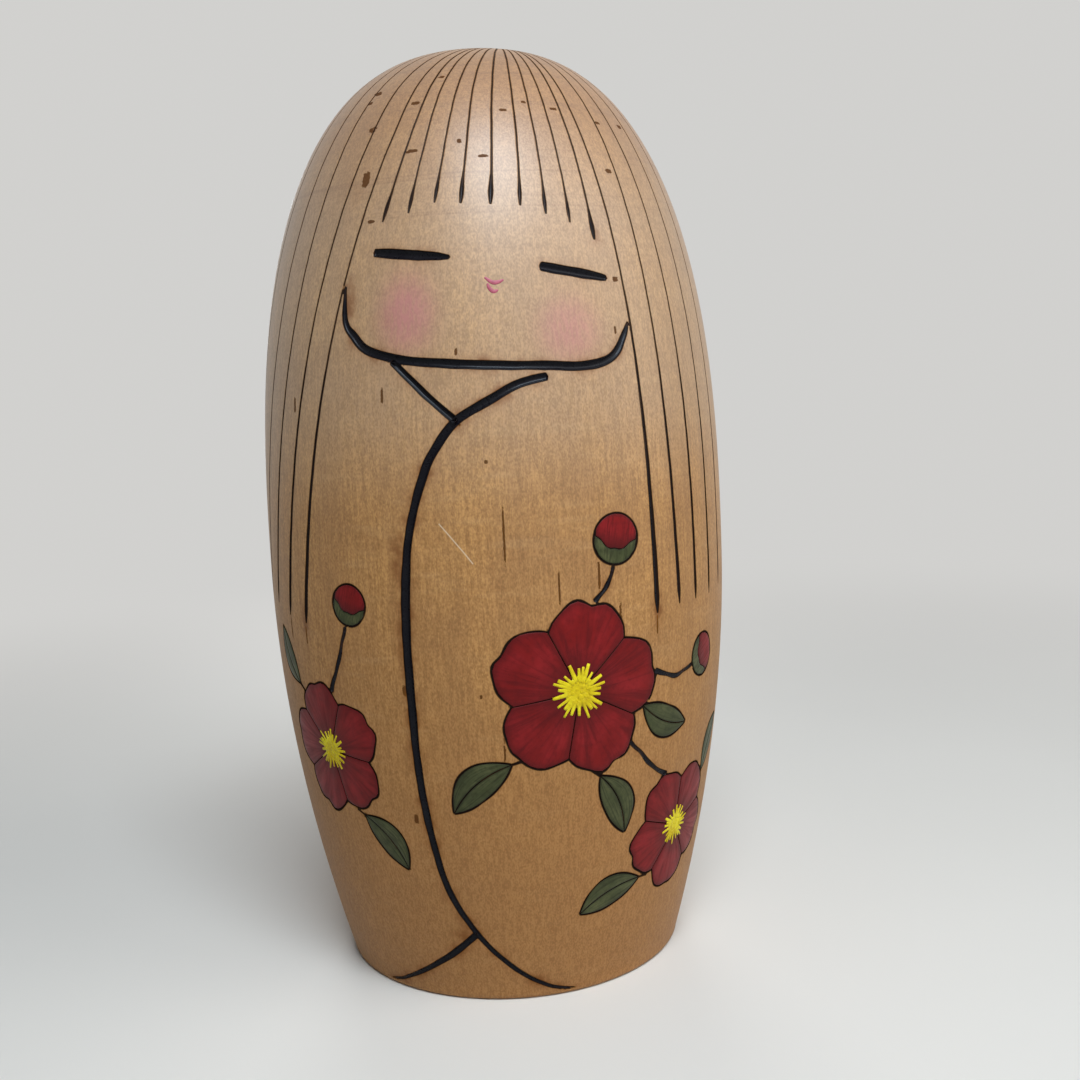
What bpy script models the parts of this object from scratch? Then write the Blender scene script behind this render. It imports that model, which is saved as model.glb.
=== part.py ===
"""Kokeshi doll: one turned block of wood, burnt grooves filled with black lacquer, painted blossoms.

Metres, +Z up. The doll stands on z = 0, the lathe axis is the Z axis and the face looks along -Y.
Sizes are in metres and degrees. A place on the turned surface is (turn, height): the turn is measured
round the axis from the front, positive toward +X. Head lines give the drop below the crown.
"""
import math

import bmesh
import bpy
from mathutils import Vector

# Turned block
HEIGHT = 0.24
BELLY_HEIGHT = 0.107
BELLY_RADIUS = 0.0615
BASE_RADIUS = 0.0456
SHOULDER_FULLNESS = 2.58
CROWN_FULLNESS = 2.6
FLANK_FULLNESS = 1.9
BASE_EDGE_ROUND = 0.0015
SIDES = 60
FLANK_RINGS = 6
DOME_RINGS = 11
EDGE_STEPS = 3

# Burnt grooves and their lacquer
GROOVE_DEPTH = 0.001
GROOVE_FLOOR_SHARE = 0.5
CUTTER_LIFT = 0.0004
LACQUER_SINK = 0.00025
LACQUER_CLEARANCE = 0.00008
LINE_GAP = 0.0005
PATH_STEP = 0.005
END_ROUND_SHARE = 0.4

# Hair: lines that fan out from a burnt spot beside the top of the crown
CROWN_SPOT_X = 0.007
CROWN_SPOT_Y = -0.008
CROWN_SPOT_RADIUS = 0.005
HAIR_DEPTH = 0.0007
HAIR_WIDTH = 0.0006
HAIR_WIDTH_AT_SPOT = 0.00026
HAIR_TIP_WIDTH = 0.0013
HAIR_TIP_LENGTH = 0.007
HAIR_FILL_SHARE = 0.6
HAIR_FOOT_CLEARANCE = 0.00015
HAIR_END_CLEARANCE = 0.0002
BROW_DROP = 0.023
TEMPLE_DROP = 0.09
BACK_STRANDS = 17
# Fringe strands: turn at the brow, turn at the tip, drop of the tip
FRINGE = (
    (-19.0, -25.5, 0.047),
    (-14.2, -18.5, 0.0455),
    (-8.2, -11.7, 0.0435),
    (-2.2, -5.0, 0.044),
    (4.8, 2.5, 0.0445),
    (12.0, 10.0, 0.045),
    (17.4, 16.4, 0.047),
    (22.9, 22.5, 0.049),
    (28.4, 28.6, 0.053),
)
# Side strands: turn at the brow, at the temple and at the tip, drop of the tip
LEFT_STRANDS = (
    (-25.0, -42.4, -51.7, 0.142),
    (-33.6, -50.0, -59.7, 0.141),
    (-44.2, -58.0, -68.4, 0.139),
    (-53.2, -66.8, -77.0, 0.138),
)
RIGHT_STRANDS = (
    (32.8, 36.2, 38.2, 0.142),
    (41.2, 43.5, 46.0, 0.141),
    (48.6, 51.6, 53.1, 0.141),
    (57.4, 59.8, 60.8, 0.141),
    (66.5, 68.6, 69.2, 0.14),
)

# Face: turn and drop along each stroke
CHIN_WIDTH = 0.0018
CHIN_DROP = 0.0815
CHIN_LEFT_DROP = 0.0625
CHIN_RIGHT_DROP = 0.0715
CHIN_LINE = (
    (-34.0, 0.0694),
    (-31.8, 0.073),
    (-28.6, 0.076),
    (-22.0, 0.0783),
    (-14.0, 0.0796),
    (0.0, 0.0809),
    (13.0, CHIN_DROP),
    (21.4, 0.082),
    (27.4, 0.081),
    (30.7, 0.0788),
    (32.9, 0.0756),
)
EYE_WIDTH = 0.0023
EYES = {
    "eye_line_left": ((-27.4, 0.054), (-17.3, 0.0552), (-7.8, 0.0562)),
    "eye_line_right": ((13.2, 0.059), (21.1, 0.0604), (30.4, 0.062)),
}
LIP_WIDTH = 0.0009
LIPS = {
    "mouth_stroke_upper": ((0.0, 0.061), (1.6, 0.0623), (4.6, 0.0616)),
    "mouth_stroke_lower": ((0.7, 0.0636), (1.5, 0.0646), (3.0, 0.0644)),
}

# Robe lines: turn, and share of the height from the hem up to the chin line
COLLAR_WIDTH = 0.0016
ROBE_TOP_WIDTH = 0.0018
ROBE_HEM_WIDTH = 0.001
HEM_WIDTH = 0.0016
HEM_END_WIDTH = 0.0008
HEM_HEIGHT = 0.0032
ROBE_STARTS_AT = 13.0
ROBE_EDGE = (
    (6.4, 0.975),
    (-0.6, 0.952),
    (-7.6, 0.925),
    (-11.9, 0.89),
    (-15.2, 0.85),
    (-19.2, 0.76),
    (-21.0, 0.65),
    (-21.4, 0.5),
    (-21.4, 0.4),
    (-20.5, 0.3),
    (-17.8, 0.195),
    (-13.0, 0.128),
    (-6.8, 0.076),
    (1.0, 0.032),
    (9.5, 0.0),
    (16.5, -0.0055),
)
COLLAR_MEETS_CHIN = -22.0
COLLAR_MIDDLE = (-14.4, 0.967)
COLLAR_MEETS_ROBE = 3
HEM_LINE = ((-10.6, 0.108), (-19.1, 0.067), (-28.6, 0.031), (-38.9, 0.0), (-45.0, -0.0055))

# Painted spray of five-petalled blossoms, leaves and buds
PAINT_LIFT = 0.00012
PAINT_THICKNESS = 0.0003
PAINT_CLEARANCE = 0.0003
PETALS = 5
PETAL_REACH = 0.56
PETAL_ROUND = 0.44
PETAL_SLIT_SHARE = 0.5
PETAL_STEPS = (-33.0, -19.0, 0.0, 19.0, 33.0)
HEART_SHARE = 0.28
HEART_SIDES = 14
HEART_RINGS = 2
PETAL_RINGS = 3
# Blossoms: turn, height, radius, tilt of the first petal
BLOSSOMS = {
    "blossom_front": (17.0, 0.082, 0.022, 8.0),
    "blossom_low": (50.0, 0.04, 0.017, -20.0),
    "blossom_left": (-48.0, 0.066, 0.0175, 30.0),
}
BUD_SIDES = 12
BUD_RINGS = 2
# Buds: turn, height, radius
BUDS = {
    "bud_top": (27.0, 0.1175, 0.006),
    "bud_side": (57.0, 0.084, 0.0055),
    "bud_left": (-36.0, 0.104, 0.005),
}
LEAF_SIDES = 14
LEAF_RINGS = 2
# Leaves: turn, height, length, width, tilt from the level
LEAVES = {
    "leaf_front_1": (-7.0, 0.06, 0.019, 0.0085, 40.0),
    "leaf_front_2": (41.5, 0.071, 0.018, 0.008, 155.0),
    "leaf_front_3": (27.0, 0.052, 0.018, 0.0085, -65.0),
    "leaf_low_1": (27.0, 0.027, 0.018, 0.008, 20.0),
    "leaf_low_2": (68.0, 0.058, 0.017, 0.0075, 50.0),
    "leaf_left_1": (-33.0, 0.044, 0.017, 0.0075, -50.0),
    "leaf_left_2": (-63.0, 0.088, 0.016, 0.007, 120.0),
}
TWIG_WIDTH = 0.0011
TWIGS = {
    "twig_front": ((21.0, 0.1032), (24.5, 0.107), (26.0, 0.1112)),
    "twig_side": ((38.8, 0.083), (45.0, 0.081), (51.5, 0.0825)),
    "twig_low": ((43.5, 0.0555), (38.0, 0.059), (32.0, 0.0655)),
    "twig_left": ((-44.6, 0.0815), (-41.0, 0.089), (-37.5, 0.0986)),
}

# Colours, roughness
WOOD = ("turned_wood", (0.52, 0.32, 0.15, 1.0), 0.45)
LACQUER = ("black_lacquer", (0.012, 0.012, 0.014, 1.0), 0.25)
LIP_PAINT = ("lip_paint", (0.55, 0.10, 0.14, 1.0), 0.5)
RED_PAINT = ("red_paint", (0.42, 0.02, 0.025, 1.0), 0.45)
YELLOW_PAINT = ("yellow_paint", (0.75, 0.48, 0.08, 1.0), 0.45)
GREEN_PAINT = ("green_paint", (0.05, 0.11, 0.045, 1.0), 0.45)


# The turned surface

def radius_at(height):
    if height >= BELLY_HEIGHT:
        rise = min((height - BELLY_HEIGHT) / (HEIGHT - BELLY_HEIGHT), 1.0)
        return BELLY_RADIUS * (1.0 - rise ** SHOULDER_FULLNESS) ** (1.0 / CROWN_FULLNESS)
    drop = (BELLY_HEIGHT - height) / BELLY_HEIGHT
    return BASE_RADIUS + (BELLY_RADIUS - BASE_RADIUS) * (1.0 - drop ** FLANK_FULLNESS)


def dome_height(radius):
    rise = (1.0 - (radius / BELLY_RADIUS) ** CROWN_FULLNESS) ** (1.0 / SHOULDER_FULLNESS)
    return BELLY_HEIGHT + (HEIGHT - BELLY_HEIGHT) * rise


def on_surface(turn, height):
    angle = math.radians(turn)
    radius = radius_at(height)
    return Vector((radius * math.sin(angle), -radius * math.cos(angle), height))


def on_crown(x, y):
    return Vector((x, y, dome_height(math.hypot(x, y))))


def outward(point):
    radius = math.hypot(point.x, point.y)
    away = Vector((point.x, point.y, 0.0)).normalized()
    if point.z >= BELLY_HEIGHT:
        rise = (point.z - BELLY_HEIGHT) / (HEIGHT - BELLY_HEIGHT)
        side = CROWN_FULLNESS / BELLY_RADIUS * (radius / BELLY_RADIUS) ** (CROWN_FULLNESS - 1.0)
        up = SHOULDER_FULLNESS / (HEIGHT - BELLY_HEIGHT) * rise ** (SHOULDER_FULLNESS - 1.0)
    else:
        drop = (BELLY_HEIGHT - point.z) / BELLY_HEIGHT
        side = 1.0
        spread = (BELLY_RADIUS - BASE_RADIUS) * FLANK_FULLNESS / BELLY_HEIGHT
        up = -spread * drop ** (FLANK_FULLNESS - 1.0)
    return (away * side + Vector((0.0, 0.0, up))).normalized()


def dome_ring_heights():
    heights = []
    for ring in range(DOME_RINGS):
        rise = math.sin(math.pi / 2.0 * ring / DOME_RINGS) ** (2.0 / SHOULDER_FULLNESS)
        heights.append(BELLY_HEIGHT + (HEIGHT - BELLY_HEIGHT) * rise)
    return heights


def flank_ring_heights():
    span = BELLY_HEIGHT - BASE_EDGE_ROUND
    return [BASE_EDGE_ROUND + span * ring / FLANK_RINGS for ring in range(FLANK_RINGS)]


# Meshes, materials and objects

def material(finish):
    name, colour, roughness = finish
    found = bpy.data.materials.get(name)
    if found:
        return found
    made = bpy.data.materials.new(name)
    made.use_nodes = True
    shader = made.node_tree.nodes["Principled BSDF"]
    shader.inputs["Base Color"].default_value = colour
    shader.inputs["Roughness"].default_value = roughness
    return made


def make_object(name, mesh_data, finish=None):
    bmesh.ops.recalc_face_normals(mesh_data, faces=mesh_data.faces[:])
    mesh = bpy.data.meshes.new(name)
    mesh_data.to_mesh(mesh)
    mesh_data.free()
    made = bpy.data.objects.new(name, mesh)
    bpy.context.collection.objects.link(made)
    if finish:
        mesh.materials.append(material(finish))
        mesh.shade_smooth()
        mesh.set_sharp_from_angle(angle=math.radians(40.0))
    return made


def bridge(mesh_data, first, second):
    for i, corner in enumerate(first):
        after = (i + 1) % len(first)
        mesh_data.faces.new((corner, first[after], second[after], second[i]))


def sweep(mesh_data, path, sections):
    """A closed body along path: a section is a list of corners (aside, depth below the surface)."""
    rings = []
    for i, point in enumerate(path):
        normal = outward(point)
        along = path[min(i + 1, len(path) - 1)] - path[max(i - 1, 0)]
        side = normal.cross(along).normalized()
        ring = []
        for aside, depth in sections[i]:
            ring.append(mesh_data.verts.new(point + side * aside - normal * depth))
        rings.append(ring)
    for first, second in zip(rings, rings[1:]):
        bridge(mesh_data, first, second)
    mesh_data.faces.new(rings[0])
    mesh_data.faces.new(rings[-1])
    return rings


def groove_section(half, top, bottom, clearance):
    """A trapezium: the sides of the groove slope in to its floor."""
    slope = (1.0 - GROOVE_FLOOR_SHARE) / GROOVE_DEPTH
    upper = half * (1.0 - slope * top) - clearance
    lower = half * (1.0 - slope * bottom) - clearance
    return ((upper, top), (-upper, top), (-lower, bottom), (lower, bottom))


def notch_section(half, top, bottom, filled):
    """A V: the sides of a hair line meet at its foot, and lacquer fills a share of its width."""
    upper = half * (1.0 - top / HAIR_DEPTH) * filled
    return ((upper, top), (-upper, top), (0.0, bottom))


def paint_section(half, top, bottom):
    return ((half, top), (-half, top), (-half, bottom), (half, bottom))


# Paths on the surface

def between(points, i, share):
    before = points[max(i - 1, 0)]
    start = points[i]
    end = points[i + 1]
    after = points[min(i + 2, len(points) - 1)]
    place = []
    for a, b, c, d in zip(before, start, end, after):
        bend = 2.0 * a - 5.0 * b + 4.0 * c - d
        twist = 3.0 * b - a - 3.0 * c + d
        place.append(b + 0.5 * share * (c - a + share * (bend + share * twist)))
    return place


def curve_path(points):
    path = []
    for i in range(len(points) - 1):
        span = (on_surface(*points[i + 1]) - on_surface(*points[i])).length
        parts = max(1, round(span / PATH_STEP))
        for part in range(parts):
            path.append(on_surface(*between(points, i, part / parts)))
    path.append(on_surface(*points[-1]))
    return path


def trim_start(path, length):
    kept = list(path)
    left = length
    while len(kept) > 2 and (kept[1] - kept[0]).length <= left:
        left -= (kept[1] - kept[0]).length
        kept.pop(0)
    kept[0] = kept[0] + (kept[1] - kept[0]).normalized() * left
    if len(kept) > 2 and (kept[1] - kept[0]).length < PATH_STEP / 2.0:
        kept.pop(1)
    return kept


def trim_end(path, length):
    return trim_start(path[::-1], length)[::-1]


def stroke(path, start_width, end_width):
    """The path with a station close to each end, and its half widths, narrowed at the very ends."""
    first = (path[1] - path[0]).normalized() * (start_width * END_ROUND_SHARE)
    last = (path[-2] - path[-1]).normalized() * (end_width * END_ROUND_SHARE)
    full = [path[0], path[0] + first] + path[1:-1] + [path[-1] + last, path[-1]]
    halves = []
    for i in range(len(full)):
        share = i / (len(full) - 1)
        halves.append((start_width + (end_width - start_width) * share) / 2.0)
    halves[0] *= END_ROUND_SHARE
    halves[-1] *= END_ROUND_SHARE
    return full, halves


def dropped(points):
    return [(turn, HEIGHT - drop) for turn, drop in points]


def robe_height(share):
    return HEM_HEIGHT + (HEIGHT - CHIN_DROP - HEM_HEIGHT) * share


def robe_points(points):
    return [(turn, robe_height(share)) for turn, share in points]


# Hair strands

def strand_turn(strand, height):
    """Turn of a side strand at a height below the brow: a parabola through brow, temple and tip."""
    brow, temple, tip, tip_drop = strand
    heights = (HEIGHT - BROW_DROP, HEIGHT - TEMPLE_DROP, HEIGHT - tip_drop)
    total = 0.0
    for i, turn in enumerate((brow, temple, tip)):
        weight = 1.0
        for j, other in enumerate(heights):
            if i != j:
                weight *= (height - other) / (heights[i] - other)
        total += turn * weight
    return total


def fringe_as_strand(brow, tip, tip_drop):
    temple = brow + (tip - brow) * (TEMPLE_DROP - BROW_DROP) / (tip_drop - BROW_DROP)
    return (brow, temple, tip, tip_drop)


def back_strands():
    first = RIGHT_STRANDS[-1]
    last = LEFT_STRANDS[-1]
    made = []
    for i in range(1, BACK_STRANDS + 1):
        share = i / (BACK_STRANDS + 1)
        turns = [a + (b + 360.0 - a) * share for a, b in zip(first[:3], last[:3])]
        made.append((*turns, first[3] + (last[3] - first[3]) * share))
    return made


def strand_stations(strand):
    """Points from the crown spot to the tip, one on each ring of the block, so the strand lies on it."""
    brow_height = HEIGHT - BROW_DROP
    tip_height = HEIGHT - strand[3]
    spot = Vector((CROWN_SPOT_X, CROWN_SPOT_Y))
    brow = on_surface(strand[0], brow_height).to_2d()
    reach = brow - spot
    ring_heights = flank_ring_heights() + dome_ring_heights()
    shares = []
    for height in ring_heights:
        if height > brow_height:
            # Where the straight run from the spot to the brow crosses this ring, seen from above
            half_b = spot.dot(reach)
            inside = half_b ** 2 - reach.length_squared * (spot.length_squared - radius_at(height) ** 2)
            for sign in (-1.0, 1.0):
                if inside > 0.0:
                    shares.append((-half_b + sign * math.sqrt(inside)) / reach.length_squared)
    nearest = CROWN_SPOT_RADIUS / reach.length
    shares = [nearest] + sorted(share for share in shares if nearest * 1.2 < share < 1.0)
    path = [on_crown(*(spot + reach * share)) for share in shares]
    shoulder = tip_height + HAIR_TIP_LENGTH
    for height in sorted(ring_heights, reverse=True):
        if shoulder + HAIR_WIDTH < height <= brow_height:
            path.append(on_surface(strand_turn(strand, height), height))
    for height in (shoulder, tip_height + HAIR_TIP_WIDTH, tip_height):
        path.append(on_surface(strand_turn(strand, height), height))
    return path


def strand_halves(path):
    halves = [HAIR_WIDTH / 2.0] * len(path)
    halves[0] = HAIR_WIDTH_AT_SPOT / 2.0
    halves[1] = (HAIR_WIDTH_AT_SPOT + HAIR_WIDTH) / 4.0
    halves[-2] = HAIR_TIP_WIDTH / 2.0
    halves[-1] = HAIR_TIP_WIDTH / 2.0 * END_ROUND_SHARE
    return halves


def hair_strands():
    strands = [fringe_as_strand(*row) for row in FRINGE]
    strands += LEFT_STRANDS
    strands += RIGHT_STRANDS
    strands += back_strands()
    paths = [strand_stations(strand) for strand in strands]
    spot = Vector((CROWN_SPOT_X, CROWN_SPOT_Y))
    return sorted(paths, key=lambda path: math.atan2(*(path[0].to_2d() - spot)))


def hair_network(top, bottom, filled, end_clearance):
    """All strands joined to the crown spot as one closed body between two depths."""
    mesh_data = bmesh.new()
    starts = []
    for path in hair_strands():
        path[-1] = path[-1] + (path[-2] - path[-1]).normalized() * end_clearance
        sections = [notch_section(half, top, bottom, filled) for half in strand_halves(path)]
        ring = sweep(mesh_data, path, sections)[0]
        mesh_data.faces.remove(mesh_data.faces.get(ring))
        starts.append(ring)
    centre = on_crown(CROWN_SPOT_X, CROWN_SPOT_Y)
    upper = mesh_data.verts.new(centre - outward(centre) * top)
    lower = mesh_data.verts.new(centre - outward(centre) * bottom)
    for (left, right, foot), (next_left, next_right, next_foot) in zip(starts, starts[1:] + starts[:1]):
        facing = (next_left.co - right.co).length < (next_right.co - left.co).length
        edge, next_edge = (right, next_left) if facing else (left, next_right)
        mesh_data.faces.new((left, right, upper))
        mesh_data.faces.new((edge, next_edge, upper))
        mesh_data.faces.new((foot, next_foot, lower))
        mesh_data.faces.new((edge, next_edge, next_foot, foot))
    return mesh_data


# Line work

def chin_points():
    """The chin line, its two ends set beside the inner side strands."""
    ends = []
    for strand, drop, sign in ((LEFT_STRANDS[0], CHIN_LEFT_DROP, 1), (RIGHT_STRANDS[0], CHIN_RIGHT_DROP, -1)):
        height = HEIGHT - drop
        aside = CHIN_WIDTH / 2.0 + HAIR_WIDTH / 2.0 + LINE_GAP
        turn = strand_turn(strand, height) + sign * math.degrees(aside / radius_at(height))
        ends.append((turn, height))
    return [ends[0]] + dropped(CHIN_LINE) + [ends[1]]


def line_strokes():
    """Every separate burnt line: name, path and half widths."""
    below_chin = HEIGHT - CHIN_DROP - (CHIN_WIDTH + ROBE_TOP_WIDTH) / 2.0 - LINE_GAP
    robe = [(ROBE_STARTS_AT, below_chin)] + robe_points(ROBE_EDGE)
    chin_meets = (COLLAR_MEETS_CHIN, dict(CHIN_LINE)[COLLAR_MEETS_CHIN])
    collar = dropped([chin_meets]) + robe_points([COLLAR_MIDDLE]) + [robe[COLLAR_MEETS_ROBE]]
    collar_path = trim_start(curve_path(collar), (CHIN_WIDTH + COLLAR_WIDTH) / 2.0 + LINE_GAP)
    collar_path = trim_end(collar_path, (ROBE_TOP_WIDTH + COLLAR_WIDTH) / 2.0 + LINE_GAP)
    hem_path = trim_start(curve_path(robe_points(HEM_LINE)), (ROBE_TOP_WIDTH + HEM_WIDTH) / 2.0 + LINE_GAP)
    strokes = {
        "chin_line": stroke(curve_path(chin_points()), CHIN_WIDTH, CHIN_WIDTH),
        "collar_line": stroke(collar_path, COLLAR_WIDTH, COLLAR_WIDTH),
        "robe_edge_line": stroke(curve_path(robe), ROBE_TOP_WIDTH, ROBE_HEM_WIDTH),
        "hem_line": stroke(hem_path, HEM_WIDTH, HEM_END_WIDTH),
    }
    for name, points in EYES.items():
        strokes[name] = stroke(curve_path(dropped(points)), EYE_WIDTH, EYE_WIDTH)
    for name, points in TWIGS.items():
        strokes[name] = stroke(curve_path(points), TWIG_WIDTH, TWIG_WIDTH)
    return strokes


def add_lacquer_fills(strokes):
    for name, (path, halves) in strokes.items():
        mesh_data = bmesh.new()
        floor = GROOVE_DEPTH - LACQUER_CLEARANCE
        sections = [groove_section(half, LACQUER_SINK, floor, LACQUER_CLEARANCE) for half in halves]
        sweep(mesh_data, path, sections)
        make_object(name, mesh_data, LACQUER)
    foot = HAIR_DEPTH - HAIR_FOOT_CLEARANCE
    hair = hair_network(LACQUER_SINK, foot, HAIR_FILL_SHARE, HAIR_END_CLEARANCE)
    make_object("hair_lines", hair, LACQUER)


# The turned block

def turned_block():
    mesh_data = bmesh.new()
    profile = []
    foot = radius_at(BASE_EDGE_ROUND) - BASE_EDGE_ROUND
    for step in range(EDGE_STEPS):
        angle = math.pi / 2.0 * step / EDGE_STEPS
        profile.append((foot + BASE_EDGE_ROUND * math.sin(angle), BASE_EDGE_ROUND * (1.0 - math.cos(angle))))
    for height in flank_ring_heights() + dome_ring_heights():
        profile.append((radius_at(height), height))
    rings = []
    for radius, height in profile:
        ring = []
        for side in range(SIDES):
            angle = 2.0 * math.pi * side / SIDES
            ring.append(mesh_data.verts.new((radius * math.sin(angle), -radius * math.cos(angle), height)))
        rings.append(ring)
    for lower, upper in zip(rings, rings[1:]):
        bridge(mesh_data, lower, upper)
    for ring, height in ((rings[0], 0.0), (rings[-1], HEIGHT)):
        centre = mesh_data.verts.new((0.0, 0.0, height))
        for i, corner in enumerate(ring):
            mesh_data.faces.new((corner, ring[(i + 1) % SIDES], centre))
    return make_object("turned_body", mesh_data, WOOD)


def cut_grooves(block, strokes):
    lines = bmesh.new()
    for path, halves in strokes.values():
        sweep(lines, path, [groove_section(half, -CUTTER_LIFT, GROOVE_DEPTH, 0.0) for half in halves])
    hair = hair_network(-CUTTER_LIFT, HAIR_DEPTH, 1.0, 0.0)
    cutters = (make_object("line_cutter", lines), make_object("hair_cutter", hair))
    for cutter in cutters:
        cutter.hide_render = True
        cutter.display_type = "WIRE"
        cut = block.modifiers.new(cutter.name, "BOOLEAN")
        cut.operation = "DIFFERENCE"
        cut.solver = "EXACT"
        cut.object = cutter


# Paint

def painted_point(centre, across, up, lift):
    turn, height = centre
    place = on_surface(turn + math.degrees(across / radius_at(height)), height + up)
    return place + outward(place) * lift


def paint_coat(name, centre, outline, tilt, hole, rings, finish):
    """A thin coat on the wood: outline is a list of (angle, reach) round the centre, hole a radius."""
    mesh_data = bmesh.new()
    layers = []
    for lift in (PAINT_LIFT, PAINT_LIFT + PAINT_THICKNESS):
        layer = []
        for ring in range(0 if hole else 1, rings + 1):
            loop = []
            for angle, reach in outline:
                turned = math.radians(angle + tilt)
                out = hole + (reach - hole) * ring / rings
                place = painted_point(centre, out * math.cos(turned), out * math.sin(turned), lift)
                loop.append(mesh_data.verts.new(place))
            layer.append(loop)
        for near, far in zip(layer, layer[1:]):
            bridge(mesh_data, near, far)
        if not hole:
            middle = mesh_data.verts.new(painted_point(centre, 0.0, 0.0, lift))
            for i, corner in enumerate(layer[0]):
                mesh_data.faces.new((corner, layer[0][(i + 1) % len(outline)], middle))
        layers.append(layer)
    bridge(mesh_data, layers[0][-1], layers[1][-1])
    if hole:
        bridge(mesh_data, layers[0][0], layers[1][0])
    return make_object(name, mesh_data, finish)


def round_outline(radius, sides):
    return [(360.0 * i / sides, radius) for i in range(sides)]


def petal_outline(radius):
    """Five round petals with a narrow slit between them."""
    outline = []
    pitch = 360.0 / PETALS
    for petal in range(PETALS):
        outline.append((pitch * (petal - 0.5), radius * PETAL_SLIT_SHARE))
        for step in PETAL_STEPS:
            aside = PETAL_REACH * math.sin(math.radians(step))
            reach = PETAL_REACH * math.cos(math.radians(step)) + math.sqrt(PETAL_ROUND ** 2 - aside ** 2)
            outline.append((pitch * petal + step, radius * reach))
    return outline


def leaf_outline(length, width):
    """A pointed oval, each long side a parabola."""
    outline = []
    for i in range(LEAF_SIDES):
        angle = 2.0 * math.pi * i / LEAF_SIDES
        side = abs(math.sin(angle))
        bow = 2.0 * width * (math.cos(angle) / length) ** 2
        if bow < 1e-6:
            reach = width / 2.0
        else:
            reach = (math.sqrt(side ** 2 + 2.0 * bow * width) - side) / (2.0 * bow)
        outline.append((math.degrees(angle), reach))
    return outline


def add_paint():
    for name, (turn, height, radius, tilt) in BLOSSOMS.items():
        hole = radius * HEART_SHARE
        heart = round_outline(hole - PAINT_CLEARANCE, HEART_SIDES)
        paint_coat(name, (turn, height), petal_outline(radius), tilt, hole, PETAL_RINGS, RED_PAINT)
        paint_coat(name + "_heart", (turn, height), heart, 0.0, 0.0, HEART_RINGS, YELLOW_PAINT)
    for name, (turn, height, radius) in BUDS.items():
        paint_coat(name, (turn, height), round_outline(radius, BUD_SIDES), 0.0, 0.0, BUD_RINGS, RED_PAINT)
    for name, (turn, height, length, width, tilt) in LEAVES.items():
        paint_coat(name, (turn, height), leaf_outline(length, width), tilt, 0.0, LEAF_RINGS, GREEN_PAINT)
    for name, points in LIPS.items():
        path, halves = stroke(curve_path(dropped(points)), LIP_WIDTH, LIP_WIDTH)
        mesh_data = bmesh.new()
        top = -PAINT_LIFT - PAINT_THICKNESS
        sweep(mesh_data, path, [paint_section(half, top, -PAINT_LIFT) for half in halves])
        make_object(name, mesh_data, LIP_PAINT)


def build():
    for old in list(bpy.data.objects):
        bpy.data.objects.remove(old, do_unlink=True)
    strokes = line_strokes()
    block = turned_block()
    cut_grooves(block, strokes)
    add_lacquer_fills(strokes)
    add_paint()


build()
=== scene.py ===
"""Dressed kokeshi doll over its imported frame: turned wood, burnt lines, black lacquer and paint.

Metres, +Z up, the doll stands on z = 0 and its face looks along -Y. A place on the wood is
(turn, height): the turn is in degrees round the axis from the front, positive toward +X.
Head lines give the drop below the crown.
"""
import collections
import math

import bmesh
import bpy
import numpy as np
from mathutils import Matrix, Vector, kdtree
from mathutils.geometry import delaunay_2d_cdt


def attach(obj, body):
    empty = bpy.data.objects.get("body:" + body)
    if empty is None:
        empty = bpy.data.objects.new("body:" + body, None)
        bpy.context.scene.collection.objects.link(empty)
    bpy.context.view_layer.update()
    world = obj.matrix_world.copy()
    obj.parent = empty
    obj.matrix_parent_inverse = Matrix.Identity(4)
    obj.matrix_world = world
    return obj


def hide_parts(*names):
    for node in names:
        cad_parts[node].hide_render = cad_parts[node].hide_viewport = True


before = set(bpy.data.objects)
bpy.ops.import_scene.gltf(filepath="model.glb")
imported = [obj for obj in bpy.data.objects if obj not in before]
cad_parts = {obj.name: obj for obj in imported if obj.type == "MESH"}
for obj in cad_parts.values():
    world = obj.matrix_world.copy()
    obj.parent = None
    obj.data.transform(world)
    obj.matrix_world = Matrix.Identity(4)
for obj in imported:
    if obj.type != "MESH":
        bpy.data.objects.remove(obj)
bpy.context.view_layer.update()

BODY = "root"
MM = 0.001

# Turned block
HEIGHT = 0.240
BELLY_HEIGHT = 0.107
BELLY_RADIUS = 0.0615
BASE_RADIUS = 0.0456
SHOULDER_FULLNESS = 2.58
CROWN_FULLNESS = 2.6
FLANK_FULLNESS = 1.9
BASE_EDGE_ROUND = 0.0015
EDGE_STEPS = 5
RIM_POINTS = 640
BASE_RINGS = (0.85, 0.6, 0.3)
# Spacing of the open wood's points, and of rings of them as a share of it
WOOD_GRID = 2.4 * MM
RING_PITCH = 0.87
# Steps up the flank and over the dome, to measure the outline and to lay rings of points on it
MAP_STEPS = (1500, 4000)
GRID_STEPS = (200, 400)
# Above this height a place is found from above, and below it from the axis
CROWN_FROM = 0.222

# Burnt lines
LINE_DEPTH = 1.0 * MM
HAIR_DEPTH = 0.5 * MM
OUTLINE_DEPTH = 0.35 * MM
LINE_STEP = 0.55 * MM
HAIR_STEP = 1.1 * MM
OUTLINE_STEP = 0.9 * MM
# How a line's width, sideways wander, rounded ends, depth and heat vary
WIDTH_RIPPLE = 0.07
LINE_WANDER = 0.06 * MM
TWIG_WANDER = 0.35 * MM
OUTLINE_WANDER = 0.05 * MM
OUTLINE_RIPPLE = 0.35
CALM_LENGTH = 4.0 * MM
END_SHARES = (0.0, 0.06, 0.22, 0.5)
LEAST_END = 0.04
DEPTH_POWER = 0.7
HEAT_MEAN = 0.6
HAIR_HEAT = 0.45
TWIG_HEAT = 0.7
TWIG_DEPTH = 0.6
OUTLINE_HEAT = 0.5
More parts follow.
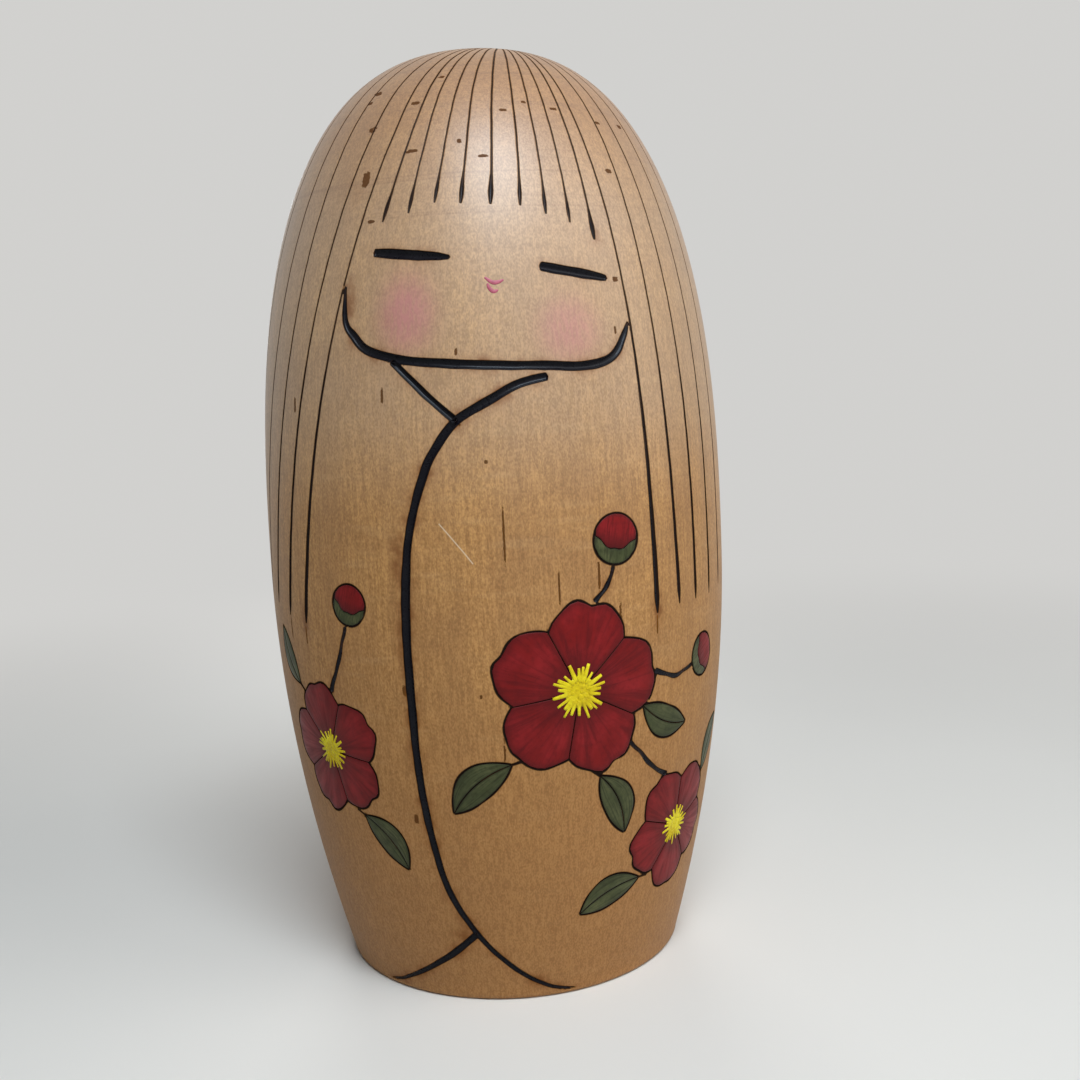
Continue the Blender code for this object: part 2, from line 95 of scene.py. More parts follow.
# First seeds of the wander of side strands, drawn lines and twigs
SIDE_SEED = 20
DRAWN_SEED = 40
TWIG_SEED = 60
# Top and foot of the lacquer, as shares of a groove's depth, and how far its foot goes under the wood
LACQUER_TOP = 0.8
LACQUER_BOTTOM = 1.15
LACQUER_SINK = 0.05 * MM
LACQUER_FULL_HALF = 0.9 * MM
# Where the columns of the lacquer lie, as shares of a line's half width
LINE_COLUMNS = (-0.96, -0.7, -0.35, 0.0, 0.35, 0.7, 0.96)
HAIR_COLUMNS = (-0.95, -0.5, 0.0, 0.5, 0.95)

# Hair
CROWN_SPOT = (0.007, -0.008)
# Where strands start, in spot radii: every other strand of the crowded front starts clear of the spot
STRAND_STARTS = (0.85, 1.65)
CROWN_SPOT_RADIUS = 0.005
CROWN_SPOT_DEPTH = 0.5 * MM
CROWN_SPOT_SIDES = 35
# Rings round the spot's middle, in spot radii: in the wood and in the lacquer
SPOT_RINGS = (0.25, 0.5, 0.75, 0.9, 1.0, 1.1, 1.3)
SPOT_LACQUER_RINGS = (0.2, 0.45, 0.7, 0.88, 0.97)
SPOT_CLEAR = 1.5
SPOT_CHAR_EDGE = 0.4 * MM
SPOT_SCORCH_REACH = 1.5 * MM
HAIR_WIDTH = 0.40 * MM
HAIR_WIDTH_AT_SPOT = 0.20 * MM
HAIR_THIN_LENGTH = 0.110
FRINGE_TIP_LENGTH = 0.009
SIDE_TIP_LENGTH = 0.085
BACK_TIP = 1.1
BACK_INK = 0.5
# Share of the width that a dry strand has, and share that full ink adds
DRY_WIDTH = 0.6
INK_WIDTH = 0.5
# How a strand swells toward its tip, and how it comes to a point
SWELL_POWER = 1.6
POINT_POWER = 0.7
HAIR_POINT_LENGTH = 3.5 * MM
HAIR_POINT_SHARE = 0.22
# Spacing of a strand's path, and how often it is eased at the brow
STRAND_SPACING = 0.7 * MM
STRAND_EASING = 30
BROW_DROP = 0.023
TEMPLE_DROP = 0.090
BACK_STRANDS = 17
# Fringe strands: turn at the brow and at the tip, drop of the tip, its width in millimetres, ink (1 is black)
FRINGE = (
    (-19.0, -25.5, 0.047, 1.4, 0.9),
    (-14.2, -18.5, 0.0455, 1.4, 0.4),
    (-8.2, -11.7, 0.0435, 1.35, 0.3),
    (-2.2, -5.0, 0.044, 1.8, 0.5),
    (4.8, 2.5, 0.0445, 1.95, 1.0),
    (12.0, 10.0, 0.045, 1.35, 0.6),
    (17.4, 16.4, 0.047, 1.5, 0.3),
    (22.9, 22.5, 0.049, 1.25, 0.4),
    (28.4, 28.6, 0.053, 2.0, 0.9),
)
# Side strands: turn at the brow, at the temple and at the tip, then drop, width and ink as in the fringe
LEFT_STRANDS = (
    (-25.0, -42.4, -51.7, 0.142, 1.5, 0.6),
    (-33.6, -50.0, -59.7, 0.141, 1.3, 0.6),
    (-44.2, -58.0, -68.4, 0.139, 1.0, 0.4),
    (-53.2, -66.8, -77.0, 0.138, 0.9, 0.3),
)
RIGHT_STRANDS = (
    (32.8, 36.2, 38.2, 0.142, 1.65, 0.9),
    (41.2, 43.5, 46.0, 0.141, 1.25, 0.6),
    (48.6, 51.6, 53.1, 0.141, 1.2, 0.5),
    (57.4, 59.8, 60.8, 0.141, 1.0, 0.4),
    (66.5, 68.6, 69.2, 0.140, 0.9, 0.3),
)

# Face: turn and drop along each stroke
CHIN_WIDTH = 2.0 * MM
CHIN_DROP = 0.0815
CHIN_LEFT_DROP = 0.0612
CHIN_RIGHT_DROP = 0.0722
# How far from the side strands the chin line ends, in degrees
CHIN_END_GAP = 0.6
CHIN_LINE = (
    (-34.5, 0.0694),
    (-31.8, 0.073),
    (-28.6, 0.076),
    (-22.0, 0.0783),
    (-14.0, 0.0796),
    (0.0, 0.0809),
    (13.0, CHIN_DROP),
    (21.4, 0.082),
    (27.4, 0.081),
    (30.7, 0.0788),
    (32.9, 0.0756),
)
EYE_WIDTH = 2.2 * MM
EYE_LEFT = ((-27.4, 0.054), (-17.3, 0.0552), (-7.8, 0.0562))
EYE_RIGHT = ((13.2, 0.059), (21.1, 0.0604), (30.4, 0.062))
LIP_WIDTH = 1.0 * MM
LIP_LIFT = 0.06 * MM
LIP_STEP = 0.35 * MM
# Across a lip stroke: share of the half width, share of the lift
LIP_SECTION = ((-1.0, -0.3), (-0.7, 0.6), (0.0, 1.0), (0.7, 0.6), (1.0, -0.3))
LIPS = {
    "mouth_stroke_upper": ((0.1, 0.0611), (1.8, 0.0623), (3.2, 0.0623), (4.5, 0.0618)),
    "mouth_stroke_lower": ((0.7, 0.0625), (1.1, 0.0636), (2.0, 0.0644), (3.1, 0.0641)),
}
# Blush: turn, height, half width, half height, strength
BLUSH = (
    (-18.4, 0.1715, 0.0064, 0.0086, 0.95),
    (19.0, 0.1664, 0.0072, 0.0072, 0.70),
)

# Robe lines: turn, and share of the height from the hem up to the chin line
COLLAR_WIDTH = 1.75 * MM
ROBE_WIDTH = 2.0 * MM
HEM_WIDTH = 1.6 * MM
HEM_HEIGHT = 0.0032
ROBE_GAP = 0.45 * MM
ROBE_STARTS_AT = 13.0
ROBE_EDGE = (
    (6.4, 0.975),
    (-0.6, 0.952),
    (-7.6, 0.925),
    (-11.9, 0.89),
    (-15.2, 0.85),
    (-19.2, 0.76),
    (-21.0, 0.65),
    (-21.4, 0.5),
    (-21.4, 0.4),
    (-20.5, 0.3),
    (-17.8, 0.195),
    (-13.0, 0.128),
    (-6.8, 0.076),
    (1.0, 0.032),
    (8.6, 0.0035),
    (13.4, -0.0062),
    (18.0, -0.0126),
)
# Collar line: turn and depth, in chin widths, where it meets the chin line, its middle, its robe edge point
COLLAR_MEETS_CHIN = -22.0
COLLAR_INTO_CHIN = 0.3
COLLAR_MIDDLE = (-14.4, 0.967)
COLLAR_MEETS_ROBE = 3
HEM_LINE = ((-11.2, 0.1065), (-19.1, 0.067), (-28.6, 0.031), (-38.9, 0.0), (-42.4, -0.0065), (-45.6, -0.0126))

# Width of a line along its length: share of the length, share of the full width
WIDTHS = {
    "chin_line": ((0.0, 0.25), (0.07, 0.7), (0.16, 1.0), (0.92, 1.0), (0.965, 0.75), (1.0, 0.3)),
    "collar_line": ((0.0, 0.9), (0.5, 1.0), (1.0, 0.95)),
    "robe_edge_line": (
        (0.0, 0.9), (0.1, 1.0), (0.3, 0.95), (0.36, 1.12), (0.5, 1.0), (0.75, 0.8), (0.92, 0.55), (1.0, 0.4),
    ),
    "hem_line": ((0.0, 1.0), (0.2, 1.1), (0.5, 0.8), (0.8, 0.55), (1.0, 0.35)),
    "eye_line_left": ((0.0, 0.8), (0.15, 0.95), (0.6, 1.05), (0.86, 0.8), (1.0, 0.35)),
    "eye_line_right": ((0.0, 0.95), (0.2, 1.05), (0.6, 1.0), (0.9, 0.75), (1.0, 0.5)),
    "twig": ((0.0, 1.3), (0.3, 0.8), (0.5, 1.1), (0.75, 0.7), (1.0, 0.9)),
    "lip": ((0.0, 0.5), (0.25, 0.85), (0.55, 1.1), (0.8, 0.85), (1.0, 0.35)),
}

# Painted spray of five-petalled blossoms, leaves and buds
PETALS = 5
PETAL_REACH = 0.56
PETAL_ROUND = 0.44
HEART_SHARE = 0.28
STAMENS = 23
HEART_DABS = 22
PETAL_NOTCH = 0.05
PETAL_NOTCH_ANGLE = 6.0
# Waves of a petal's rim: size, pace, step of the seed
PETAL_WAVES = ((0.012, 9.0, 1.0), (0.01, 17.0, 2.0))
# Paint of a petal: where it starts in the heart, and rows and columns of its points
PETAL_ROOT = 0.55
PETAL_ROWS = 15
PETAL_COLUMNS = 19
# Leaves: bow as a share of the length, pointedness, and rows and columns of the paint's points
LEAF_BOW = 0.10
LEAF_POINT = 2.2
LEAF_ROWS = 21
LEAF_COLUMNS = 9
# Yellow heart, as shares of the core, the heart or the blossom
HEART_CORE = 0.66
STAMEN_START = 0.55
STAMEN_REACH = 1.02
STAMEN_WIDTH = 0.047
DAB_SPREAD = 0.92
DAB_SIZE = 0.13
DAB_TURN = 2.4
# Round dabs from the foot up: share of the radius, share of the lift, tone
DAB_SIDES = 10
DAB_SECTION = ((1.0, -0.3, 0.0), (1.0, 0.25, 0.3), (0.72, 0.75, 0.7), (0.36, 0.97, 1.0))
# Across a stamen: share of the half width, share of the lift
STREAK_SECTION = ((-1.0, -0.3), (-0.6, 0.7), (0.0, 1.0), (0.6, 0.7), (1.0, -0.3))
STREAK_MARKS = 7
# How steeply a coat rounds down at its edge, how deep its edge sits, how much brush marks show
COAT_EDGE = 14
COAT_SEAT = 0.02 * MM
BRUSH_MARKS = 0.18
PAINT_LIFT = 0.09 * MM
PAINT_SINK = 0.06 * MM
OUTLINE_WIDTH = 0.55 * MM
OUTLINE_GAP = 0.12 * MM
# Widths of the outlines as shares of OUTLINE_WIDTH
OUTLINE_SHARES = {"rim": 1.15, "slit": 1.0, "leaf": 1.1, "rib": 0.9, "bud": 1.1, "cup": 1.0, "seam": 0.8}
# Blossoms: turn, height, radius, tilt of the first petal
BLOSSOMS = {
    "blossom_front": (17.0, 0.082, 0.022, 8.0),
    "blossom_low": (50.0, 0.040, 0.017, -20.0),
    "blossom_left": (-48.0, 0.066, 0.0175, 30.0),
}
# Buds: turn, height, radius, tilt
BUDS = {
    "bud_top": (27.0, 0.1175, 0.006, -10.0),
    "bud_side": (57.0, 0.084, 0.0055, -65.0),
    "bud_left": (-36.0, 0.104, 0.005, -15.0),
}
# Leaves: turn, height, length, width, tilt from the level
LEAVES = {
    "leaf_front_1": (-7.0, 0.060, 0.019, 0.0085, 40.0),
    "leaf_front_2": (41.5, 0.071, 0.018, 0.008, 155.0),
    "leaf_front_3": (27.0, 0.052, 0.018, 0.0085, -65.0),
    "leaf_low_1": (27.0, 0.027, 0.018, 0.008, 20.0),
    "leaf_low_2": (68.0, 0.058, 0.017, 0.0075, 50.0),
    "leaf_left_1": (-33.0, 0.044, 0.017, 0.0075, -50.0),
    "leaf_left_2": (-63.0, 0.088, 0.016, 0.007, 120.0),
}
TWIG_WIDTH = 1.1 * MM
TWIGS = {
    "twig_front": ((21.0, 0.1032), (24.5, 0.107), (26.0, 0.1112)),
    "twig_side": ((37.4, 0.0838), (45.0, 0.081), (51.5, 0.0825)),
    "twig_low": ((43.5, 0.0555), (38.0, 0.059), (30.4, 0.0672)),
    "twig_left": ((-44.6, 0.0815), (-41.0, 0.089), (-37.5, 0.0986)),
}

# Dark flecks in the wood: turn, height, half width, half height
FLECKS = (
    (-40.4, 0.2257, 0.0016, 0.0006),
    (-41.7, 0.2233, 0.0010, 0.0005),
    (-20.6, 0.2213, 0.0014, 0.0005),
    (-13.3, 0.2279, 0.0011, 0.0004),
    (-34.6, 0.2158, 0.0014, 0.0007),
    (-19.3, 0.2092, 0.0017, 0.0005),
    (-5.2, 0.2108, 0.0007, 0.0006),
    (1.4, 0.2069, 0.0015, 0.0004),
    (16.8, 0.2203, 0.0012, 0.0004),
    (8.7, 0.2182, 0.0011, 0.0004),
    (26.2, 0.2188, 0.0013, 0.0004),
    (42.5, 0.2162, 0.0010, 0.0005),
    (54.8, 0.2163, 0.0012, 0.0006),
    (38.8, 0.2038, 0.0012, 0.0006),
    (-32.5, 0.2035, 0.0012, 0.0022),
    (-28.9, 0.1933, 0.0011, 0.0005),
    (32.8, 0.1778, 0.0010, 0.0007),
    (-52.1, 0.1517, 0.0005, 0.0022),
    (-24.4, 0.1532, 0.0004, 0.0023),
    (1.5, 0.1203, 0.00032, 0.0075),
    (13.0, 0.1073, 0.0003, 0.0045),
    (22.4, 0.1090, 0.0004, 0.0045),
    (27.5, 0.0930, 0.0005, 0.0110),
    (-0.6, 0.0680, 0.0003, 0.0060),
    (-55.0, 0.0600, 0.0004, 0.0035),
    (-1.5, 0.1374, 0.0005, 0.0005),
    (-5.2, 0.0826, 0.0004, 0.0006),
    (-22.9, 0.0839, 0.0006, 0.0017),
    (-23.6, 0.0511, 0.0007, 0.0015),
    (-30.4, 0.0474, 0.0004, 0.0014),
    (-7.0, 0.1624, 0.0004, 0.0010),
    (30.8, 0.1660, 0.0004, 0.0010),
    (-52.1, 0.0950, 0.0003, 0.0028),
    (-59.6, 0.0958, 0.0003, 0.0034),
    (38.1, 0.0951, 0.0003, 0.0027),
    (19.6, 0.1573, 0.0064, 0.0002),
)
# Places scorched by a slow pen: turn, height, half width, half height, strength
HOT_SPOTS = (
    (-33.9, 0.1745, 0.0020, 0.0065, 1.0),
    (-32.0, 0.1660, 0.0022, 0.0030, 0.7),
    (28.9, 0.1885, 0.0016, 0.0030, 0.75),
    (38.1, 0.0995, 0.0021, 0.0055, 1.0),
    (-51.8, 0.0985, 0.0018, 0.0050, 0.9),
    (-21.6, 0.1150, 0.0023, 0.0075, 1.0),
    (-21.8, 0.0960, 0.0022, 0.0130, 0.85),
    (-14.5, 0.0190, 0.0030, 0.0026, 0.9),
    (-36.0, 0.2025, 0.0060, 0.0100, 0.28),
    (-24.8, 0.1700, 0.0040, 0.0030, 0.25),
)
# A pale scratch, point by point
SCRATCH = ((-12.3, 0.1236), (-9.0, 0.1193), (-5.4, 0.1142))
SCRATCH_WIDTH = 0.3 * MM

# Points of the wood in and beside a line, by kind: shares of its half width, margins past its edge
COLUMNS = {"hair": (0.0, 1.0), "drawn": (0.0, 0.5, 0.8, 1.0), "outline": (0.0, 1.0)}
MARGINS = {
    "hair": (0.3 * MM, 0.9 * MM),
    "drawn": (0.25 * MM, 0.8 * MM, 1.7 * MM),
    "outline": (0.3 * MM, 0.8 * MM),
}
# Room that other lines' points, and the points of the open wood, leave beside a line
KEEP_OFF = {"hair": 0.2 * MM, "drawn": 0.22 * MM, "outline": 0.4 * MM}
CLEAR = {"hair": 1.9 * MM, "drawn": 2.7 * MM, "outline": 1.5 * MM}
# How far scorch and char reach past a line's edge
SCORCH_REACH = {"hair": 0.40 * MM, "drawn": 1.4 * MM, "outline": 0.6 * MM}
CHAR_EDGE = {"hair": 0.07 * MM, "drawn": 0.22 * MM, "outline": 0.18 * MM}
# Points fanned out past a line's end: distances and angles
END_REACH = (0.1 * MM, 0.3 * MM, 0.9 * MM)
END_ANGLES = (-70.0, -35.0, 0.0, 35.0, 70.0)
# Points in and round a fleck: spacing, least number, reach in half widths, room beside a line
FLECK_STEP = 0.32 * MM
FLECK_LEAST = 7
FLECK_REACH = 1.6
FLECK_CLEAR = 0.85 * MM
# How far out a fleck begins to fade, in half widths, and how square it is
FLECK_SOLID = 1.3
FLECK_SQUARE = 4.0
# How far to look for other lines round a point, and how far round a line its colours are worked out
OTHER_REACH = 1.8 * MM
FIELD_REACH = 6.0 * MM
# A line of this half width is fully black, and the least char of a thinner one
BLACK_HALF = 0.26 * MM
LEAST_BLACK = 0.85
# Room between the rim and the points above it, and least spacing of all points
RIM_CLEAR = 0.2 * MM
POINT_SPACING = 0.05 * MM

# Wood colour: noise scale, detail and weight
GRAIN = (
    ((1500.0, 1500.0, 420.0), 2.0, 0.35),
    ((800.0, 800.0, 60.0), 3.0, 0.25),
    ((1250.0, 1250.0, 1250.0), 2.0, 0.4),
)
WEAVE = (
    ((3200.0, 3200.0, 1500.0), 0.0, 0.55),
    ((1500.0, 1500.0, 80.0), 1.0, 0.45),
)
GRAIN_RANGE = (0.37, 0.63)
WOOD_DARK = (0.300, 0.142, 0.041)
WOOD_LIGHT = (0.470, 0.244, 0.078)
WEAVE_DARK = (0.86, 0.845, 0.82)
WEAVE_LIGHT = (1.14, 1.15, 1.165)
# Cloudy tints: noise scale, detail, range of the noise, strength, colour
WOOD_TINTS = (
    ((95.0, 95.0, 9.0), 3.0, 0.35, 0.68, 0.45, (0.275, 0.135, 0.047)),
    ((28.0, 28.0, 60.0), 4.0, 0.45, 0.75, 0.35, (0.240, 0.115, 0.044)),
    ((55.0, 55.0, 330.0), 2.0, 0.5, 0.75, 0.18, (0.50, 0.31, 0.14)),
)
# Tints of the crown and the foot: height of none, height of all, strength, colour
HEIGHT_TINTS = (
    (0.165, 0.236, 0.6, (0.265, 0.142, 0.080)),
    (0.125, 0.030, 0.75, (0.312, 0.148, 0.050)),
)
# Painted sheen: a paler, less saturated band over the face stands in for the broad highlight of the light in
# front; heights over which it comes and goes
FACE_SHEEN_COMES = (0.120, 0.155)
FACE_SHEEN_GOES = (0.225, 0.190)
FACE_SHEEN_STRENGTH = 0.4
FACE_SHEEN_TINT = (0.41, 0.303, 0.208)
# Turning rings on the dome
RING_SCALE = (14.0, 14.0, 1000.0)
RING_RANGE = (0.52, 0.70, 0.0, 0.35)
RINGS_COME = (0.17, 0.205)
RING_TINT = (0.200, 0.100, 0.050)
BLUSH_TINT = (0.43, 0.150, 0.160)
FLECK_TINT = (0.070, 0.024, 0.008)
SCRATCH_TINT = (0.62, 0.50, 0.36)
SCORCH_TINT = (0.180, 0.062, 0.009)
CHAR_TINT = (0.014, 0.008, 0.006)
# Wax on the wood: from bright to dull places, and from low to high on the doll
WAX_RANGE = (0.0, 0.6, 0.5, 0.03)
WAX_HEIGHTS = (0.055, 0.20, 0.22, 1.0)
WAX_COAT = 1.8
MIDDLE_WAX = 0.3
# Patches in the scorch
SCORCH_SCALE = (420.0, 420.0, 420.0)
# Lacquer, lips and paint: fine specks, and slow changes of colour
SPECK_SCALE = (900.0, 900.0, 900.0)
STRETCH_SCALE = (260.0, 260.0, 260.0)
CLOUD_SCALE = (150.0, 150.0, 150.0)
BRUSH_SCALE = (5.5, 0.9, 60.0)
# Lacquer and lips: from one colour to another
LACQUER_BROWN = ((0.013, 0.006, 0.004), (0.050, 0.021, 0.011))
LACQUER_BLACK = ((0.003, 0.002, 0.004), (0.006, 0.005, 0.007))
LACQUER_SHEEN = (0.82, 0.91, 1.0)
LIP_PAINT = ((0.31, 0.045, 0.085), (0.40, 0.080, 0.125))
# Paints: dark, middle and light colour, and a colour toward the root
PAINTS = {
    "red_paint": ((0.080, 0.002, 0.003), (0.170, 0.004, 0.004), (0.225, 0.008, 0.010), (0.062, 0.002, 0.003)),
    "yellow_paint": ((0.34, 0.20, 0.004), (0.62, 0.48, 0.005), (0.80, 0.72, 0.02)),
    "green_paint": ((0.016, 0.018, 0.007), (0.044, 0.052, 0.018), (0.085, 0.092, 0.036)),
}

# Studio
CAMERA_BACK = 0.35168
CAMERA_HEIGHT = 0.15748
CAMERA_PITCH = 0.13181
CAMERA_ROLL = -0.04499
CAMERA_YAW = 0.03384
CAMERA_LENS = 42.667
SENSOR = 36.0
BACKDROP = (0.64, 0.635, 0.62)
# Over these distances from the doll the floor goes over into the backdrop
FLOOR_FADE = (0.12, 0.70)
FLOOR_RINGS = (0.3, 0.8, 1.6, 4.0)
FLOOR_SIDES = 96
FLOOR_ROUGHNESS = 0.7
FLOOR_DARK = (0.72, 0.705, 0.675)
FLOOR_LIGHT = (0.75, 0.735, 0.705)
SKY = (0.80, 0.80, 0.80)
SKY_STRENGTH = 0.04
# Lamps that all point at one place: place, size, power, colour
LIT_PLACE = (0.0, 0.0, 0.13)
LIGHTS = {
    "key": ((0.12, -0.60, 0.94), (0.5, 0.4), 9.9, (0.86, 0.94, 1.0)),
    "front_card": ((0.35, -1.1, 0.50), (0.9, 0.8), 1.5, (1.0, 0.98, 0.96)),
    "right_card": ((0.85, -0.25, 0.45), (0.6, 0.7), 1.6, (1.0, 0.98, 0.95)),
    "right_high": ((0.65, -0.45, 0.85), (0.6, 0.6), 2.6, (1.0, 0.98, 0.95)),
    "back_card": ((-0.1, 1.2, 0.25), (0.5, 0.4), 5.5, (1.0, 0.98, 0.95)),
}
SEEN_BY = ("Is Camera Ray", "Is Glossy Ray", "Is Transmission Ray")


# The turned surface

def radius_at(height):
    height = np.asarray(height, float)
    rise = np.clip((height - BELLY_HEIGHT) / (HEIGHT - BELLY_HEIGHT), 0.0, 1.0)
    dome = BELLY_RADIUS * (1.0 - rise ** SHOULDER_FULLNESS) ** (1.0 / CROWN_FULLNESS)
    drop = np.clip((BELLY_HEIGHT - height) / BELLY_HEIGHT, 0.0, 1.0)
    flank = BASE_RADIUS + (BELLY_RADIUS - BASE_RADIUS) * (1.0 - drop ** FLANK_FULLNESS)
    return np.where(height >= BELLY_HEIGHT, dome, flank)


def dome_height(radius):
    share = np.clip(np.asarray(radius, float) / BELLY_RADIUS, 0.0, 1.0)
    rise = (1.0 - share ** CROWN_FULLNESS) ** (1.0 / SHOULDER_FULLNESS)
    return BELLY_HEIGHT + (HEIGHT - BELLY_HEIGHT) * rise


def profile(lowest, flank_steps, dome_steps):
    """Radius and height of points up the outline, from a lowest height to the crown."""
    flank = np.linspace(lowest, BELLY_HEIGHT, flank_steps)[:-1]
    edge = np.linspace(0.0, math.pi / 2.0, dome_steps)
    dome = BELLY_RADIUS * np.cos(edge) ** (2.0 / CROWN_FULLNESS)
    rise = BELLY_HEIGHT + (HEIGHT - BELLY_HEIGHT) * np.sin(edge) ** (2.0 / SHOULDER_FULLNESS)
    return np.concatenate((radius_at(flank), dome)), np.concatenate((flank, rise))


def circle(count, shift=0.0):
    """Angles of points spaced evenly round a circle."""
    return 2.0 * math.pi * (np.arange(count) + shift) / count


def level_ring(radius, height, angle):
    """Points of a level circle, from the front round toward +X."""
    return np.column_stack((radius * np.sin(angle), -radius * np.cos(angle), np.full(len(angle), height)))


def ring_faces(starts, count):
    """Faces between rings of points that start at the given numbers."""
    faces = []
    for near, far in zip(starts, starts[1:]):
        for i in range(count):
            after = (i + 1) % count
            faces.append([near + i, far + i, far + after, near + after])
    return faces


def on_surface(turn, height):
    turn, height = np.broadcast_arrays(np.asarray(turn, float), np.asarray(height, float))
    angle = np.radians(turn)
    radius = radius_at(height)
    return np.stack((radius * np.sin(angle), -radius * np.cos(angle), height), axis=-1)


def on_crown(plan):
    return np.column_stack((plan, dome_height(np.hypot(plan[:, 0], plan[:, 1]))))


def snap(points):
    """Points near the wood moved onto it: straight up or down on the crown, level elsewhere."""
    plan = np.maximum(np.hypot(points[:, 0], points[:, 1]), 1e-9)
    height = np.clip(points[:, 2], 0.0, HEIGHT)
    crown = height > CROWN_FROM
    share = np.where(crown, 1.0, radius_at(height) / plan)
    level = np.where(crown, dome_height(plan), height)
    return np.column_stack((points[:, 0] * share, points[:, 1] * share, level))


def outward(points):
    """Unit directions straight out of the wood."""
    plan = np.maximum(np.hypot(points[..., 0], points[..., 1]), 1e-9)
    height = points[..., 2]
    span = HEIGHT - BELLY_HEIGHT
    rise = np.clip((height - BELLY_HEIGHT) / span, 0.0, 1.0)
    drop = np.clip((BELLY_HEIGHT - height) / BELLY_HEIGHT, 0.0, 1.0)
    dome = height >= BELLY_HEIGHT
    side_dome = CROWN_FULLNESS / BELLY_RADIUS * (plan / BELLY_RADIUS) ** (CROWN_FULLNESS - 1.0)
    side = np.where(dome, side_dome, 1.0)
    spread = (BELLY_RADIUS - BASE_RADIUS) * FLANK_FULLNESS / BELLY_HEIGHT
    up_dome = SHOULDER_FULLNESS / span * rise ** (SHOULDER_FULLNESS - 1.0)
    up = np.where(dome, up_dome, -spread * drop ** (FLANK_FULLNESS - 1.0))
    normal = np.stack((points[..., 0] / plan * side, points[..., 1] / plan * side, up), axis=-1)
    return normal / np.linalg.norm(normal, axis=-1, keepdims=True)


def flat_map(points):
    """The wood unrolled onto a disc with true angles: the crown is the middle, the base the rim."""
    radius, height = (values[:-1] for values in profile(0.0, *MAP_STEPS))
    steps = np.hypot(np.diff(radius), np.diff(height))
    middle = (radius[1:] + radius[:-1]) / 2.0
    turns = np.concatenate(([0.0], np.cumsum(steps / middle)))
    plan = np.hypot(points[:, 0], points[:, 1])
    depth = np.interp(points[:, 2] - plan, height - radius, turns)
    disc = np.exp(-depth)
    inner = plan < radius[-1]
    disc[inner] = np.exp(-turns[-1]) * plan[inner] / radius[-1]
    share = disc / np.maximum(plan, 1e-12)
    return points[:, :2] * share[:, None]


# Burnt lines

Line = collections.namedtuple("Line", "name kind points halves depths heats")


def ripple(marks, seed):
    """A slow, even-handed wander between -1 and 1 along a line."""
    waves = ((0.0067, 1.0), (0.0118, 1.3), (0.0275, 1.6))
    total = np.zeros_like(marks)
    for i, (length, weight) in enumerate(waves):
        total += weight * np.sin(2.0 * math.pi * marks / length + seed * (1.7 + i))
    return total / sum(weight for length, weight in waves)


def curve(points, parts=24):
    """A dense path on the wood through (turn, height) points."""
    points = np.asarray(points, float)
    padded = np.concatenate((points[:1], points, points[-1:]))
    share = np.linspace(0.0, 1.0, parts, endpoint=False)[:, None]
    made = []
    for i in range(len(points) - 1):
        a, b, c, d = padded[i:i + 4]
        bend = 2.0 * a - 5.0 * b + 4.0 * c - d
        twist = 3.0 * b - a - 3.0 * c + d
        made.append(b + 0.5 * share * (c - a + share * (bend + share * twist)))
    made = np.concatenate(made + [points[-1:]])
    return on_surface(made[:, 0], made[:, 1])


def path_marks(dense):
    gaps = np.linalg.norm(np.diff(dense, axis=0), axis=1)
    return np.concatenate(([0.0], np.cumsum(gaps)))


def directions(points):
    along = np.gradient(points, axis=0)
    return along / np.maximum(np.linalg.norm(along, axis=1, keepdims=True), 1e-12)


def sideways(points):
    """Unit directions across a line, along the wood."""
    return np.cross(outward(points), directions(points))


def make_line(name, kind, dense, width_at, depth, heat, step, seed, wander=LINE_WANDER):
    """Stations along a dense path, closer together at the two rounded ends."""
    along = path_marks(dense)
    length = along[-1]
    marks = np.linspace(0.0, length, max(3, int(math.ceil(length / step)) + 1))
    end_half = min(width_at(np.array([0.0, length]), length).min() / 2.0, step)
    near = end_half * np.array(END_SHARES)
    inner = marks[(marks > end_half) & (marks < length - end_half)]
    marks = np.concatenate((near, [end_half], inner, [length - end_half], length - near[::-1]))
    points = np.stack([np.interp(marks, along, dense[:, i]) for i in range(3)], axis=1)
    halves = width_at(marks, length) / 2.0 * (1.0 + WIDTH_RIPPLE * ripple(marks, seed + 2.0))
    ends = np.minimum(marks, length - marks)
    rounding = np.sqrt(np.clip(1.0 - (1.0 - np.clip(ends / end_half, 0.0, 1.0)) ** 2, 0.0, 1.0))
    side = sideways(points)
    calm = np.clip(ends / CALM_LENGTH, 0.0, 1.0)
    points = snap(points + side * (wander * calm * ripple(marks, seed))[:, None])
    full = halves.max()
    halves = halves * np.maximum(rounding, LEAST_END)
    depths = depth * (halves / full) ** DEPTH_POWER
    heats = heat * (HEAT_MEAN + (1.0 - HEAT_MEAN) * ripple(marks, seed + 5.0))
    return Line(name, kind, points, halves, depths, heats)


def table_width(name, width):
    shares, factors = zip(*WIDTHS[name])
    return lambda marks, length: width * np.interp(marks / length, shares, factors)


def uneven_width(width, seed):
    return lambda marks, length: width * (1.0 + OUTLINE_RIPPLE * ripple(marks, seed))


def hair_width(tip_width, tip_length, ink):
    """Width along a strand: thin at the crown, swollen before its tip, and thinner with less ink."""
    def width_at(marks, length):
        left = length - marks
        base = np.interp(marks, (0.0, HAIR_THIN_LENGTH), (HAIR_WIDTH_AT_SPOT, HAIR_WIDTH))
        base = base * (DRY_WIDTH + INK_WIDTH * ink)
        swell = np.clip(1.0 - left / tip_length, 0.0, 1.0) ** SWELL_POWER
        taper = np.clip(left / HAIR_POINT_LENGTH, 0.0, 1.0) ** POINT_POWER
        return (base + (tip_width - HAIR_WIDTH) * swell) * np.maximum(taper, HAIR_POINT_SHARE)
    return width_at


def dropped(points):
    return [(turn, HEIGHT - drop) for turn, drop in points]


